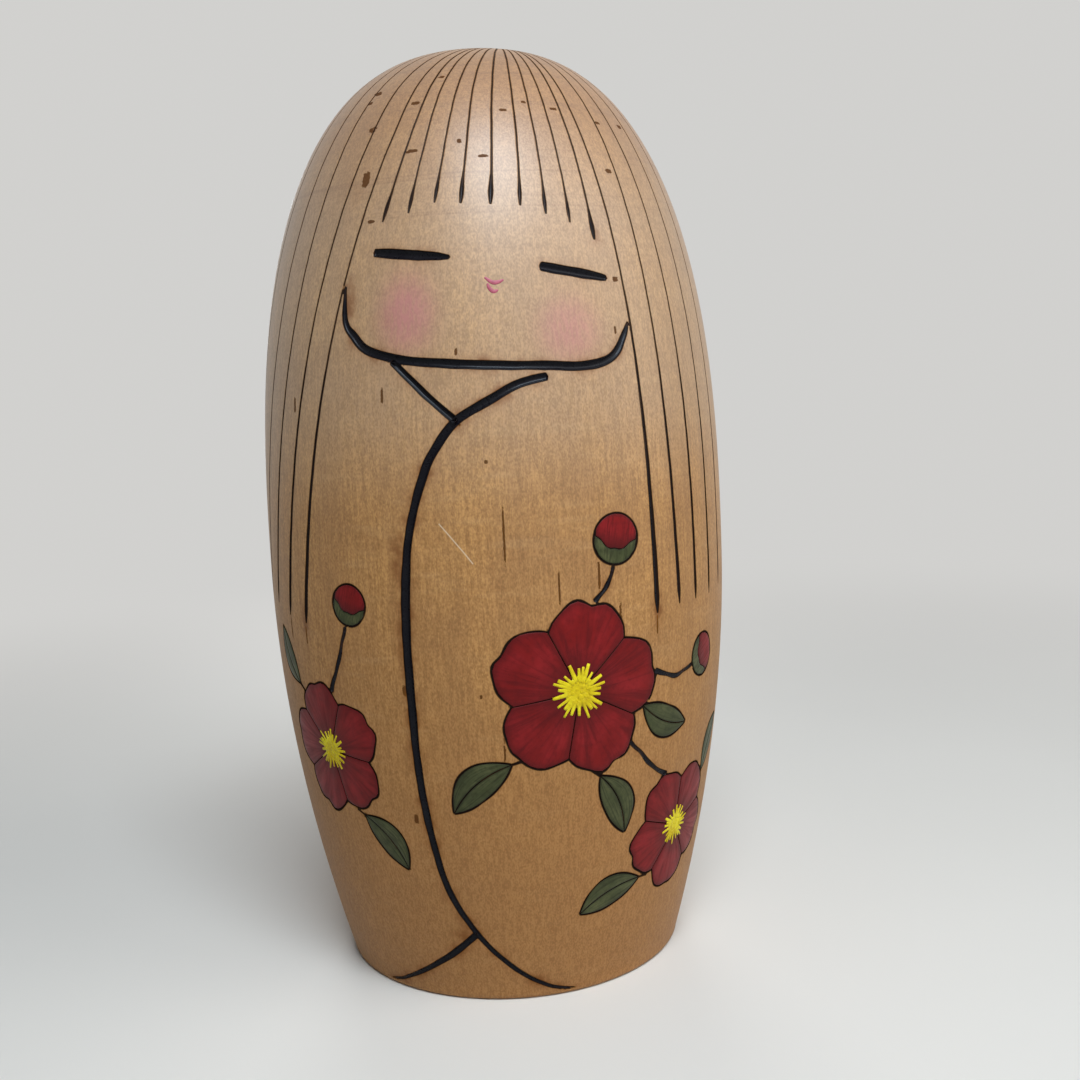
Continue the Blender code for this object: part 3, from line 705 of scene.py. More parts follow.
def robe_points(points):
    span = HEIGHT - CHIN_DROP - HEM_HEIGHT
    return [(turn, HEM_HEIGHT + span * share) for turn, share in points]


def strand_turn(strand, height):
    """Turn of a side strand at a height below the brow: a parabola through brow, temple and tip."""
    heights = [HEIGHT - drop for drop in (BROW_DROP, TEMPLE_DROP, strand[3])]
    total = 0.0
    for i, turn in enumerate(strand[:3]):
        weight = 1.0
        for other in heights[:i] + heights[i + 1:]:
            weight = weight * (height - other) / (heights[i] - other)
        total = total + turn * weight
    return total


def fringe_as_strand(brow, tip, tip_drop, *ink):
    temple = brow + (tip - brow) * (TEMPLE_DROP - BROW_DROP) / (tip_drop - BROW_DROP)
    return (brow, temple, tip, tip_drop, *ink)


def back_strands():
    first = RIGHT_STRANDS[-1]
    last = LEFT_STRANDS[-1]
    made = []
    for i in range(1, BACK_STRANDS + 1):
        share = i / (BACK_STRANDS + 1)
        turns = [a + (b + 360.0 - a) * share for a, b in zip(first[:3], last[:3])]
        made.append((*turns, first[3] + (last[3] - first[3]) * share, BACK_TIP, BACK_INK))
    return made


def strand_path(strand, start):
    """From the crown spot straight to the brow in plan, then down the side, with the joint eased."""
    spot = np.array(CROWN_SPOT)
    brow_height = HEIGHT - BROW_DROP
    reach = on_surface(strand[0], brow_height)[:2] - spot
    first = start * CROWN_SPOT_RADIUS / np.linalg.norm(reach)
    upper = on_crown(spot + reach * np.linspace(first, 1.0, 60)[:, None])
    heights = np.linspace(brow_height, HEIGHT - strand[3], 120)[1:]
    dense = np.concatenate((upper, on_surface(strand_turn(strand, heights), heights)))
    marks = path_marks(dense)
    even = np.linspace(0.0, marks[-1], int(marks[-1] / STRAND_SPACING))
    path = np.stack([np.interp(even, marks, dense[:, i]) for i in range(3)], axis=1)
    for _ in range(STRAND_EASING):
        path[1:-1] = (path[:-2] + 2.0 * path[1:-1] + path[2:]) / 4.0
    return snap(path)


def hair_lines():
    """The strands of the fringe, the sides and the back."""
    rows = [(fringe_as_strand(*row), FRINGE_TIP_LENGTH, i % 2, i) for i, row in enumerate(FRINGE)]
    beside_fringe = (LEFT_STRANDS[0], RIGHT_STRANDS[0])
    for i, strand in enumerate((*LEFT_STRANDS, *RIGHT_STRANDS, *back_strands())):
        rows.append((strand, SIDE_TIP_LENGTH, int(strand in beside_fringe), SIDE_SEED + i))
    lines = []
    for strand, tip_length, start, seed in rows:
        path = strand_path(strand, STRAND_STARTS[start])
        shape = (path, hair_width(strand[4] * MM, tip_length, strand[5]), HAIR_DEPTH)
        lines.append(make_line("hair", "hair", *shape, HAIR_HEAT, HAIR_STEP, seed))
    return lines


def drawn_lines():
    """The thick burnt lines of face, robe and twigs, which hold lacquer."""
    left = HEIGHT - CHIN_LEFT_DROP
    right = HEIGHT - CHIN_RIGHT_DROP
    chin = [(strand_turn(LEFT_STRANDS[0], left) + CHIN_END_GAP, left)]
    chin += dropped(CHIN_LINE)
    chin += [(strand_turn(RIGHT_STRANDS[0], right) - CHIN_END_GAP, right)]
    start = HEIGHT - CHIN_DROP - (CHIN_WIDTH + ROBE_WIDTH) / 2.0 - ROBE_GAP
    robe = [(ROBE_STARTS_AT, start)] + robe_points(ROBE_EDGE)
    collar_drop = dict(CHIN_LINE)[COLLAR_MEETS_CHIN] + CHIN_WIDTH * COLLAR_INTO_CHIN
    collar = dropped([(COLLAR_MEETS_CHIN, collar_drop)])
    collar += robe_points([COLLAR_MIDDLE]) + [robe[COLLAR_MEETS_ROBE]]
    hem = robe_points(HEM_LINE)
    drawn = (
        ("chin_line", chin, CHIN_WIDTH, 0.9),
        ("collar_line", collar, COLLAR_WIDTH, 0.6),
        ("robe_edge_line", robe, ROBE_WIDTH, 1.1),
        ("hem_line", hem, HEM_WIDTH, 1.3),
        ("eye_line_left", dropped(EYE_LEFT), EYE_WIDTH, 0.7),
        ("eye_line_right", dropped(EYE_RIGHT), EYE_WIDTH, 0.8),
    )
    lines = []
    for i, (name, points, width, heat) in enumerate(drawn):
        shape = (curve(points), table_width(name, width), LINE_DEPTH)
        lines.append(make_line(name, "drawn", *shape, heat, LINE_STEP, DRAWN_SEED + i))
    for i, (name, points) in enumerate(TWIGS.items()):
        shape = (curve(points), table_width("twig", TWIG_WIDTH), LINE_DEPTH * TWIG_DEPTH)
        lines.append(make_line(name, "drawn", *shape, TWIG_HEAT, LINE_STEP, TWIG_SEED + i, TWIG_WANDER))
    return lines


# Painted shapes, in (across, up) metres round a place on the wood

def painted(centre, across, up):
    turn, height = centre
    return on_surface(turn + np.degrees(across / radius_at(height)), height + up)


def turned(across, up, tilt):
    cos = math.cos(math.radians(tilt))
    sin = math.sin(math.radians(tilt))
    return across * cos - up * sin, across * sin + up * cos


def petal_reach(angle, radius, seed):
    """How far a petal reaches at an angle in degrees from its middle: round, wavy, a small notch."""
    turn = np.radians(angle)
    aside = PETAL_REACH * np.sin(turn)
    reach = PETAL_REACH * np.cos(turn) + np.sqrt(np.maximum(PETAL_ROUND ** 2 - aside ** 2, 0.0))
    notch = PETAL_NOTCH * np.exp(-(angle / PETAL_NOTCH_ANGLE) ** 2)
    wave = sum(size * np.sin(turn * pace + step * seed) for size, pace, step in PETAL_WAVES)
    return radius * (reach * (1.0 + wave) - notch)


def blossom_place(blossom, out, around):
    """Places at a distance and a direction in degrees from a blossom's middle."""
    direction = np.radians(around)
    return painted(blossom[:2], out * np.cos(direction), out * np.sin(direction))


def coat_marks(count):
    """Marks from -1 to 1, two of them close to each end, where a coat of paint rounds down."""
    return np.concatenate(((-1.0, -0.985), np.linspace(-0.95, 0.95, count - 4), (0.985, 1.0)))


def petal_grid(blossom, petal):
    """Places of one petal's paint, and marks out and across: rows run outward, columns across."""
    turn, _, radius, tilt = blossom
    pitch = 360.0 / PETALS
    root = radius * HEART_SHARE * PETAL_ROOT
    rows = (coat_marks(PETAL_ROWS)[:, None] + 1.0) / 2.0
    across = coat_marks(PETAL_COLUMNS)[None, :]
    middle = root + rows * (radius * 0.9 - root)
    inset = np.degrees((OUTLINE_WIDTH / 2.0 - OUTLINE_GAP) / middle)
    angle = across * (pitch / 2.0 - inset)
    out = root + rows * (petal_reach(angle, radius, petal + turn) - OUTLINE_GAP - root)
    places = blossom_place(blossom, out, angle + tilt + pitch * petal)
    return places, *np.broadcast_arrays(rows, across)


def petal_outlines(name, blossom):
    turn, _, radius, tilt = blossom
    pitch = 360.0 / PETALS
    angle = np.linspace(-pitch / 2.0, pitch / 2.0, 60)
    lines = []
    for petal in range(PETALS):
        out = petal_reach(angle, radius, petal + turn)
        lines.append((name, blossom_place(blossom, out, angle + tilt + pitch * petal), "rim"))
        out = np.linspace(radius * HEART_SHARE * 0.6, petal_reach(pitch / 2.0, radius, petal + turn), 30)
        lines.append((name, blossom_place(blossom, out, tilt + pitch * (petal + 0.5)), "slit"))
    return lines


def leaf_half(leaf, along):
    return leaf[3] / 2.0 * np.maximum(1.0 - np.abs(along) ** LEAF_POINT, 0.0)


def leaf_shape(leaf, along, across):
    """A place on a leaf: along runs from -1 at one end to 1, across from -1 to 1 between the edges."""
    turn, height, length, _, tilt = leaf
    bend = LEAF_BOW * length * (1.0 - along ** 2) - LEAF_BOW / 2.0 * length
    x, y = turned(along * length / 2.0, bend + across * leaf_half(leaf, along), tilt)
    return painted((turn, height), x, y)


def leaf_base_sign(leaf):
    """Which end of the leaf comes closer to a blossom, and so carries its stalk."""
    def gap(sign):
        end = leaf_shape(leaf, np.array(sign), np.array(0.0))
        return min(np.linalg.norm(on_surface(*row[:2]) - end) - row[2] for row in BLOSSOMS.values())
    return min((-1.0, 1.0), key=gap)


def leaf_outlines(name, leaf):
    along = np.linspace(-1.0, 1.0, 50)
    rib = np.linspace(-0.92, 1.3, 50) * leaf_base_sign(leaf)
    lines = [(name, leaf_shape(leaf, along, edge), "leaf") for edge in (-1.0, 1.0)]
    return lines + [(name, leaf_shape(leaf, rib, np.zeros_like(rib)), "rib")]


def leaf_grid(leaf, side):
    """Places of the paint on one side of the midrib, and marks along and across."""
    along = 0.97 * coat_marks(LEAF_ROWS)[:, None]
    half = leaf_half(leaf, along)
    near = np.minimum(OUTLINE_WIDTH / 2.0 - OUTLINE_GAP, half * 0.45) / half
    far = 1.0 - np.minimum(OUTLINE_GAP, half * 0.45) / half
    across = near + (far - near) * (coat_marks(LEAF_COLUMNS)[None, :] + 1.0) / 2.0
    along, across = np.broadcast_arrays(along, across)
    return leaf_shape(leaf, along, side * across), along, across


def bud_shape(bud, x, y):
    turn, height, radius, tilt = bud
    across, up = turned(x * radius, y * radius, tilt)
    return painted((turn, height), across, up)


def cup_edge(x):
    """Upper edge of a bud's green cup: low in the middle, up to a point at each side."""
    return -0.42 + 0.55 * np.abs(x) ** 1.7 + 0.05 * np.cos(9.0 * x)


def bud_seam(y):
    return 0.22 - 0.42 * (y - 0.1) ** 2


def bud_outlines(name, bud):
    around = np.radians(np.linspace(-90.0, 270.0, 90))
    x = np.linspace(-0.97, 0.97, 50)
    y = np.linspace(-0.36, 0.95, 40)
    return [
        (name, bud_shape(bud, np.cos(around), np.sin(around)), "bud"),
        (name, bud_shape(bud, x, cup_edge(x)), "cup"),
        (name, bud_shape(bud, bud_seam(y), y), "seam"),
    ]


def bud_grid(bud, parts, low_edge, high_edge, sides):
    """A coat between two (x to y) edges, over columns from one x to another."""
    x = sides[0] + (sides[1] - sides[0]) * (coat_marks(parts)[None, :] + 1.0) / 2.0
    share = (coat_marks(parts)[:, None] + 1.0) / 2.0
    low = low_edge(x)
    y = low + (np.maximum(high_edge(x), low) - low) * share
    x, y, share = np.broadcast_arrays(x, y, share)
    return bud_shape(bud, x, y), share, 2.0 * x


def bud_coats(bud):
    """The red and the green coat of a bud."""
    gap = OUTLINE_GAP / bud[2]
    rim = lambda x: np.sqrt(np.maximum((1.0 - gap) ** 2 - x ** 2, 0.0))
    above_cup = lambda x: np.minimum(cup_edge(x) + gap, rim(x))
    below_cup = lambda x: np.minimum(cup_edge(x) - gap, rim(x))
    red = bud_grid(bud, 15, above_cup, rim, (-0.93, 0.93))
    green = bud_grid(bud, 13, lambda x: -rim(x), below_cup, (-0.95, 0.95))
    return red, green


def outline_lines():
    """The thin burnt outlines round all painted shapes."""
    rows = []
    shapes = ((BLOSSOMS, petal_outlines), (LEAVES, leaf_outlines), (BUDS, bud_outlines))
    for table, outlines in shapes:
        for name, shape in table.items():
            rows += outlines(name, shape)
    lines = []
    for i, (name, dense, part) in enumerate(rows):
        shape = (dense, uneven_width(OUTLINE_WIDTH * OUTLINE_SHARES[part], 0.7 * i), OUTLINE_DEPTH)
        lines.append(make_line(name, "outline", *shape, OUTLINE_HEAT, OUTLINE_STEP, i, OUTLINE_WANDER))
    return lines


# Wood with the lines burnt into it

def groove(share):
    """Depth across a burnt line: 1 in the middle, 0 at its edge."""
    return np.clip(1.0 - np.clip(share, 0.0, 1.0) ** 2.2, 0.0, 1.0) ** 0.8


class Stations:
    """All stations of some lines, to look up the nearest one."""

    def __init__(self, lines):
        counts = [len(line.points) for line in lines]
        columns = zip(*((line.points, line.halves, line.depths, line.heats) for line in lines))
        self.points, self.halves, self.depths, self.heats = (np.concatenate(column) for column in columns)
        self.tangents = np.concatenate([directions(line.points) for line in lines])
        self.owner = np.repeat(np.arange(len(lines)), counts)
        self.clear = np.repeat([CLEAR[line.kind] for line in lines], counts)
        self.keep = np.repeat([KEEP_OFF[line.kind] for line in lines], counts)
        after = np.cumsum(counts)
        self.ends = np.zeros(len(self.points))
        self.ends[after - counts] = -1.0
        self.ends[after - 1] = 1.0
        self.tree = kdtree.KDTree(len(self.points))
        for i, point in enumerate(self.points):
            self.tree.insert(point, i)
        self.tree.balance()

    def nearest(self, points):
        found = np.empty(len(points), int)
        gaps = np.empty(len(points))
        for i, point in enumerate(points):
            _, found[i], gaps[i] = self.tree.find(point)
        return found, gaps

    def aside(self, points):
        """The nearest station of each point, and the distance from its line."""
        found, gaps = self.nearest(points)
        offset = points - self.points[found]
        along = (offset * self.tangents[found]).sum(axis=1)
        across = np.sqrt(np.maximum(gaps ** 2 - along ** 2, 0.0))
        past = along * self.ends[found] > 0.0
        return found, np.where(past, gaps, across)


def line_samples(lines, stations):
    """Points in columns along each line, without those beside it that lie nearer to another line."""
    made = []
    for i, line in enumerate(lines):
        side = sideways(line.points)
        inside = [share * line.halves for share in COLUMNS[line.kind]]
        beside = [line.halves + margin for margin in MARGINS[line.kind]]
        for column, offset in enumerate(inside + beside):
            for sign in ((1.0,) if column == 0 else (-1.0, 1.0)):
                points = snap(line.points + side * (sign * offset)[:, None])
                made.append(points if column < len(inside) else own_points(points, i, stations))
        made.append(own_points(end_samples(line, side), i, stations))
    return np.concatenate(made)


def own_points(points, owner, stations):
    """Points that keep clear of every other line."""
    kept = []
    for i, point in enumerate(points):
        near = stations.tree.find_range(point, OTHER_REACH)
        own = min((gap for _, k, gap in near if stations.owner[k] == owner), default=OTHER_REACH)
        others = [(k, gap) for _, k, gap in near if stations.owner[k] != owner]
        if all(gap > own and gap > stations.halves[k] + stations.keep[k] for k, gap in others):
            kept.append(i)
    return points[kept]


def end_samples(line, side):
    """Points fanned out past the two ends of a line, so that its char stops there."""
    made = []
    inner = len(END_SHARES)
    for end, start in ((0, inner), (-1, -1 - inner)):
        away = line.points[end] - line.points[start]
        away = away / np.linalg.norm(away)
        for reach in END_REACH:
            for turn in np.radians(END_ANGLES):
                toward = away * math.cos(turn) + side[end] * math.sin(turn)
                made.append(line.points[end] + toward * reach)
    return snap(np.array(made))


def fleck_samples():
    """Points in and round each fleck, close enough along it to hold its shape."""
    made = []
    for turn, height, wide, tall in FLECKS:
        marks = []
        for half in (wide, tall):
            count = max(FLECK_LEAST, 2 * int(FLECK_REACH * half / FLECK_STEP) + 1)
            marks.append(np.linspace(-FLECK_REACH, FLECK_REACH, count) * half)
        x, y = np.meshgrid(*marks)
        made.append(painted((turn, height), x.ravel(), y.ravel()))
    return np.concatenate(made)


def spot_ring(share, shift=0.0):
    """A ring round the middle of the crown spot, in plan."""
    angle = circle(CROWN_SPOT_SIDES, shift)
    return np.column_stack((np.sin(angle), np.cos(angle))) * CROWN_SPOT_RADIUS * share + np.array(CROWN_SPOT)


def spot_samples():
    rings = [spot_ring(share, 0.5 * (i % 2)) for i, share in enumerate(SPOT_RINGS)]
    return on_crown(np.concatenate([np.array([CROWN_SPOT])] + rings))


def from_spot(points):
    """Level distance from the middle of the crown spot, and far away for points below the crown."""
    away = np.hypot(points[:, 0] - CROWN_SPOT[0], points[:, 1] - CROWN_SPOT[1])
    return np.where(points[:, 2] > CROWN_FROM, away, HEIGHT)


def wood_grid():
    """Rings of points over the whole surface, each ring turned by half a step from the last."""
    radius, height = profile(BASE_EDGE_ROUND, *GRID_STEPS)
    along = np.concatenate(([0.0], np.cumsum(np.hypot(np.diff(radius), np.diff(height)))))
    made = []
    for ring, mark in enumerate(np.arange(WOOD_GRID, along[-1] - WOOD_GRID / 2.0, WOOD_GRID * RING_PITCH)):
        size = np.interp(mark, along, radius)
        angle = circle(max(6, int(round(2.0 * math.pi * size / WOOD_GRID))), 0.5 * (ring % 2))
        made.append(level_ring(size, np.interp(mark, along, height), angle))
    return np.concatenate(made + [np.array([[0.0, 0.0, HEIGHT]])])


def spread_out(points, spacing):
    """Points at least about a spacing apart, the first ones first."""
    taken = {}
    chosen = []
    beside = [(x, y, z) for x in (-1, 0, 1) for y in (-1, 0, 1) for z in (-1, 0, 1)]
    cells = np.floor(points / spacing).astype(int)
    for i, (a, b, c) in enumerate(cells.tolist()):
        near = [j for x, y, z in beside for j in taken.get((a + x, b + y, c + z), ())]
        if all(np.abs(points[i] - points[j]).max() >= spacing for j in near):
            taken.setdefault((a, b, c), []).append(i)
            chosen.append(i)
    return points[chosen]


def rim_points():
    return level_ring(float(radius_at(BASE_EDGE_ROUND)), BASE_EDGE_ROUND, circle(RIM_POINTS))


def scratch_line():
    steady = lambda marks, length: np.full(len(marks), SCRATCH_WIDTH)
    return make_line("scratch", "outline", curve(SCRATCH), steady, 0.0, 0.0, OUTLINE_STEP, 3.0)


def wood_points(lines):
    """Points of the rim, and all other points of the wood."""
    lines = lines + [scratch_line()]
    stations = Stations(lines)
    fine = line_samples(lines, stations)
    fine = fine[fine[:, 2] > BASE_EDGE_ROUND + RIM_CLEAR]
    fine = fine[from_spot(fine) > CROWN_SPOT_RADIUS]
    marks = fleck_samples()
    found, gaps = stations.nearest(marks)
    marks = marks[gaps > stations.halves[found] + FLECK_CLEAR]
    grid = wood_grid()
    found, gaps = stations.nearest(grid)
    open_wood = gaps > stations.clear[found] + stations.halves[found]
    open_wood &= from_spot(grid) > CROWN_SPOT_RADIUS * SPOT_CLEAR
    inner = np.concatenate((spot_samples(), fine, marks, grid[open_wood]))
    return rim_points(), spread_out(inner, POINT_SPACING)


def wood_fields(points, groups):
    """Groove depth, char and scorch at each point."""
    depth = np.zeros(len(points))
    char = np.zeros(len(points))
    scorch = np.zeros(len(points))
    for kind, lines in groups.items():
        # The strands share one field, and every other line has its own, so that no line's end cuts another
        for members in ([lines] if kind == "hair" else [[line] for line in lines]):
            stations = Stations(members)
            low = stations.points.min(axis=0) - FIELD_REACH
            high = stations.points.max(axis=0) + FIELD_REACH
            near = np.flatnonzero(((points > low) & (points < high)).all(axis=1))
            found, aside = stations.aside(points[near])
            half = stations.halves[found]
            beyond = np.maximum(aside - half, 0.0)
            heat = stations.heats[found] * np.exp(-beyond / SCORCH_REACH[kind])
            depth[near] = np.maximum(depth[near], stations.depths[found] * groove(aside / half))
            black = np.clip(half / BLACK_HALF, LEAST_BLACK, 1.0)
            black = black * np.clip(1.0 - beyond / CHAR_EDGE[kind], 0.0, 1.0)
            char[near] = np.maximum(char[near], black)
            scorch[near] = np.maximum(scorch[near], heat)
    away = from_spot(points)
    beyond = away - CROWN_SPOT_RADIUS
    depth = np.maximum(depth, CROWN_SPOT_DEPTH * groove(away / CROWN_SPOT_RADIUS))
    char = np.maximum(char, np.clip(1.0 - beyond / SPOT_CHAR_EDGE, 0.0, 1.0))
    scorch = np.maximum(scorch, np.exp(-np.maximum(beyond, 0.0) / SPOT_SCORCH_REACH))
    for *oval, strength in HOT_SPOTS:
        scorch = np.maximum(scorch, strength * np.exp(-patch(points, *oval) ** 2))
    return depth, char, scorch


def patch(points, turn, height, wide, tall, square=2.0):
    """How far out each point is in an oval on the wood: 0 in the middle, 1 at its edge."""
    around = np.degrees(np.arctan2(points[:, 0], -points[:, 1])) - turn
    around = (around + 180.0) % 360.0 - 180.0
    across = np.radians(around) * radius_at(height)
    up = points[:, 2] - height
    return (np.abs(across / wide) ** square + np.abs(up / tall) ** square) ** (1.0 / square)


def make_wood(groups):
    """Points, faces and point values of the wood."""
    rim, inner = wood_points([line for group in groups.values() for line in group])
    points = np.concatenate((rim, inner))
    result = delaunay_2d_cdt([Vector(place) for place in flat_map(points)], [], [], 0, 1e-9, True)
    origin = [ids[0] for ids in result[3]]
    faces = [[origin[corner] for corner in face] for face in result[2]]
    depth, char, scorch = wood_fields(points, groups)
    blush = np.zeros(len(points))
    for *oval, strength in BLUSH:
        blush = np.maximum(blush, strength * np.exp(-patch(points, *oval) ** 3))
    fleck = np.zeros(len(points))
    for oval in FLECKS:
        fleck = np.maximum(fleck, np.clip(FLECK_SOLID - patch(points, *oval, FLECK_SQUARE), 0.0, 1.0))
    aside = Stations([scratch_line()]).aside(points)[1]
    pale = np.clip(1.0 - aside / SCRATCH_WIDTH, 0.0, 1.0)
    verts = points - outward(points) * depth[:, None]
    base, base_faces = base_rings(len(points))
    fields = {"char": char, "scorch": scorch, "blush": blush, "fleck": fleck, "pale": pale}
    fields = {name: np.concatenate((values, np.zeros(len(base)))) for name, values in fields.items()}
    return np.concatenate((verts, base)), faces + base_faces, fields


def base_rings(first):
    """The rounded lower edge and the flat base, joined to the rim, which is the first ring of points."""
    foot = float(radius_at(BASE_EDGE_ROUND)) - BASE_EDGE_ROUND
    levels = []
    for step in range(1, EDGE_STEPS + 1):
        angle = math.pi / 2.0 * (1.0 - step / EDGE_STEPS)
        radius = foot + BASE_EDGE_ROUND * math.sin(angle)
        levels.append((radius, BASE_EDGE_ROUND * (1.0 - math.cos(angle))))
    levels += [(foot * share, 0.0) for share in BASE_RINGS]
    verts = [level_ring(radius, height, circle(RIM_POINTS)) for radius, height in levels]
    starts = [0] + [first + RIM_POINTS * i for i in range(len(levels))]
    centre = first + RIM_POINTS * len(levels)
    faces = ring_faces(starts, RIM_POINTS)
    for i in range(RIM_POINTS):
        faces.append([starts[-1] + i, centre, starts[-1] + (i + 1) % RIM_POINTS])
    return np.concatenate(verts + [np.zeros((1, 3))]), faces


# Lacquer and paint bodies

class Mesh:
    """Points, faces and named point values of one piece, gathered part by part."""

    def __init__(self):
        self.points = []
        self.faces = []
        self.fields = collections.defaultdict(list)
        self.count = 0

    def add(self, points, faces, **fields):
        points = np.asarray(points, float).reshape(-1, 3)
        self.faces += [[corner + self.count for corner in face] for face in faces]
        self.points.append(points)
        self.count += len(points)
        for name, values in fields.items():
            self.fields[name].append(np.asarray(values, float).reshape(-1))

    def piece(self, name, material, nodes=()):
        mesh = bpy.data.meshes.new(name)
        mesh.from_pydata(np.concatenate(self.points).tolist(), [], self.faces)
        mesh.materials.append(material)
        edit = bmesh.new()
        edit.from_mesh(mesh)
        bmesh.ops.recalc_face_normals(edit, faces=edit.faces[:])
        edit.to_mesh(mesh)
        edit.free()
        mesh.shade_smooth()
        for field, values in self.fields.items():
            layer = mesh.attributes.new(field, "FLOAT", "POINT")
            layer.data.foreach_set("value", np.concatenate(values).astype(np.float32))
        made = bpy.data.objects.new(name, mesh)
        bpy.context.collection.objects.link(made)
        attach(made, BODY)
        if nodes:
            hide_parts(*nodes)


def tube_faces(rings, sides):
    """Faces round a row of rings, closed at both ends."""
    faces = []
    for near in range(0, (rings - 1) * sides, sides):
        for i in range(sides):
            after = near + (i + 1) % sides
            faces.append([near + i, after, after + sides, near + sides + i])
    faces.append(list(range(sides)))
    faces.append(list(range((rings - 1) * sides, rings * sides))[::-1])
    return faces


def stroke_rows(line, rows):
    """Rows of points along a line, each with a share of the half width and a rise above the wood."""
    normal = outward(line.points)
    side = sideways(line.points)
    made = []
    for share, rise in rows:
        made.append(line.points + side * (share * line.halves)[:, None] + normal * rise[:, None])
    return np.stack(made, axis=1)


def add_lacquer(mesh, line, columns):
    """The lacquer in one groove: a hollow upper face just above the wood, a foot just below it."""
    rows = [(share, -line.depths * (LACQUER_TOP * groove(abs(share)))) for share in columns]
    for share in columns[-2:0:-2]:
        rows.append((share, -(line.depths * LACQUER_BOTTOM * groove(abs(share)) + LACQUER_SINK)))
    thick = np.clip(line.halves / LACQUER_FULL_HALF, 0.0, 1.0)
    faces = tube_faces(len(line.points), len(rows))
    mesh.add(stroke_rows(line, rows), faces, thick=np.repeat(thick, len(rows)))


def add_crown_spot(mesh):
    """The burnt dip on the crown that the hair lines run out of."""
    rows = [(share, LACQUER_TOP, 0.0) for share in SPOT_LACQUER_RINGS]
    rows += [(share, LACQUER_BOTTOM, LACQUER_SINK) for share in SPOT_LACQUER_RINGS[::-1]]
    rings = []
    for share, factor, sink in rows:
        place = on_crown(spot_ring(share))
        rings.append(place - outward(place) * (CROWN_SPOT_DEPTH * factor * groove(share) + sink))
    faces = tube_faces(len(rings), CROWN_SPOT_SIDES)
    mesh.add(np.stack(rings), faces, thick=np.ones(len(rings) * CROWN_SPOT_SIDES))


def grid_shell(rows, columns):
    """Faces of a closed shell of two grids, upper and lower, joined round the edge."""
    def at(layer, i, j):
        return layer * rows * columns + i * columns + j
    faces = []
    for layer in (0, 1):
        for i in range(rows - 1):
            for j in range(columns - 1):
                corners = ((i, j), (i, j + 1), (i + 1, j + 1), (i + 1, j))
                face = [at(layer, *corner) for corner in corners]
                faces.append(face if layer == 0 else face[::-1])
    rim = [(0, j) for j in range(columns)] + [(i, columns - 1) for i in range(1, rows)]
    rim += [(rows - 1, j) for j in range(columns - 2, -1, -1)] + [(i, 0) for i in range(rows - 2, 0, -1)]
    for here, after in zip(rim, rim[1:] + rim[:1]):
        faces.append([at(0, *here), at(1, *here), at(1, *after), at(0, *after)])
    return faces


def add_coat(mesh, places, out, aside, seed=0.0):
    """A coat of paint over a grid of places: raised inside, rounded down into the wood at its edge."""
    rows, columns = places.shape[:2]
    u = coat_marks(rows)[:, None]
    v = coat_marks(columns)[None, :]
    border = np.maximum(np.abs(u), np.abs(v))
    body = np.sqrt(np.clip(1.0 - border ** COAT_EDGE, 0.0, 1.0))
    brush = 1.0 + BRUSH_MARKS * np.sin(9.0 * v + 2.0 * u + seed) * np.sin(2.6 * u + seed)
    normal = outward(places)
    upper = places + normal * (PAINT_LIFT * body * brush - COAT_SEAT)[..., None]
    lower = places - normal * PAINT_SINK
    fields = {"out": out, "aside": aside, "edge": border}
    fields = {name: np.tile(np.ravel(values), 2) for name, values in fields.items()}
    mesh.add(np.stack((upper, lower)), grid_shell(rows, columns), **fields)


def add_dab(mesh, centre, x, y, radius, lift, base=0.0):
    """A small round dab of paint standing on the coat below it."""
    angle = circle(DAB_SIDES)
    rings = []
    tones = []
    for share, level, tone in DAB_SECTION:
        tones += [tone] * DAB_SIDES
        place = painted(centre, x + radius * share * np.cos(angle), y + radius * share * np.sin(angle))
        rings.append(place + outward(place) * (base + lift * level))
    plain = np.zeros(len(tones))
    mesh.add(np.stack(rings), tube_faces(len(rings), DAB_SIDES), out=tones, aside=plain, edge=plain)


def add_streak(mesh, centre, start, end, width, lift, base):
    """A thin straight stroke of paint between two (across, up) places."""
    share = np.linspace(0.0, 1.0, STREAK_MARKS)
    run = (end[0] - start[0], end[1] - start[1])
    x = start[0] + run[0] * share
    y = start[1] + run[1] * share
    side = np.array((-run[1], run[0])) / math.hypot(*run)
    taper = np.interp(share, (0.0, 0.2, 1.0), (0.5, 1.0, 0.7)) * width / 2.0
    rows = []
    for aside, level in STREAK_SECTION:
        place = painted(centre, x + side[0] * aside * taper, y + side[1] * aside * taper)
        rows.append(place + outward(place) * (base + lift * level))
    tones = np.repeat(share, len(rows))
    plain = np.zeros(len(tones))
    faces = tube_faces(STREAK_MARKS, len(rows))
    mesh.add(np.stack(rows, axis=1), faces, out=tones, aside=plain, edge=plain)


# Materials

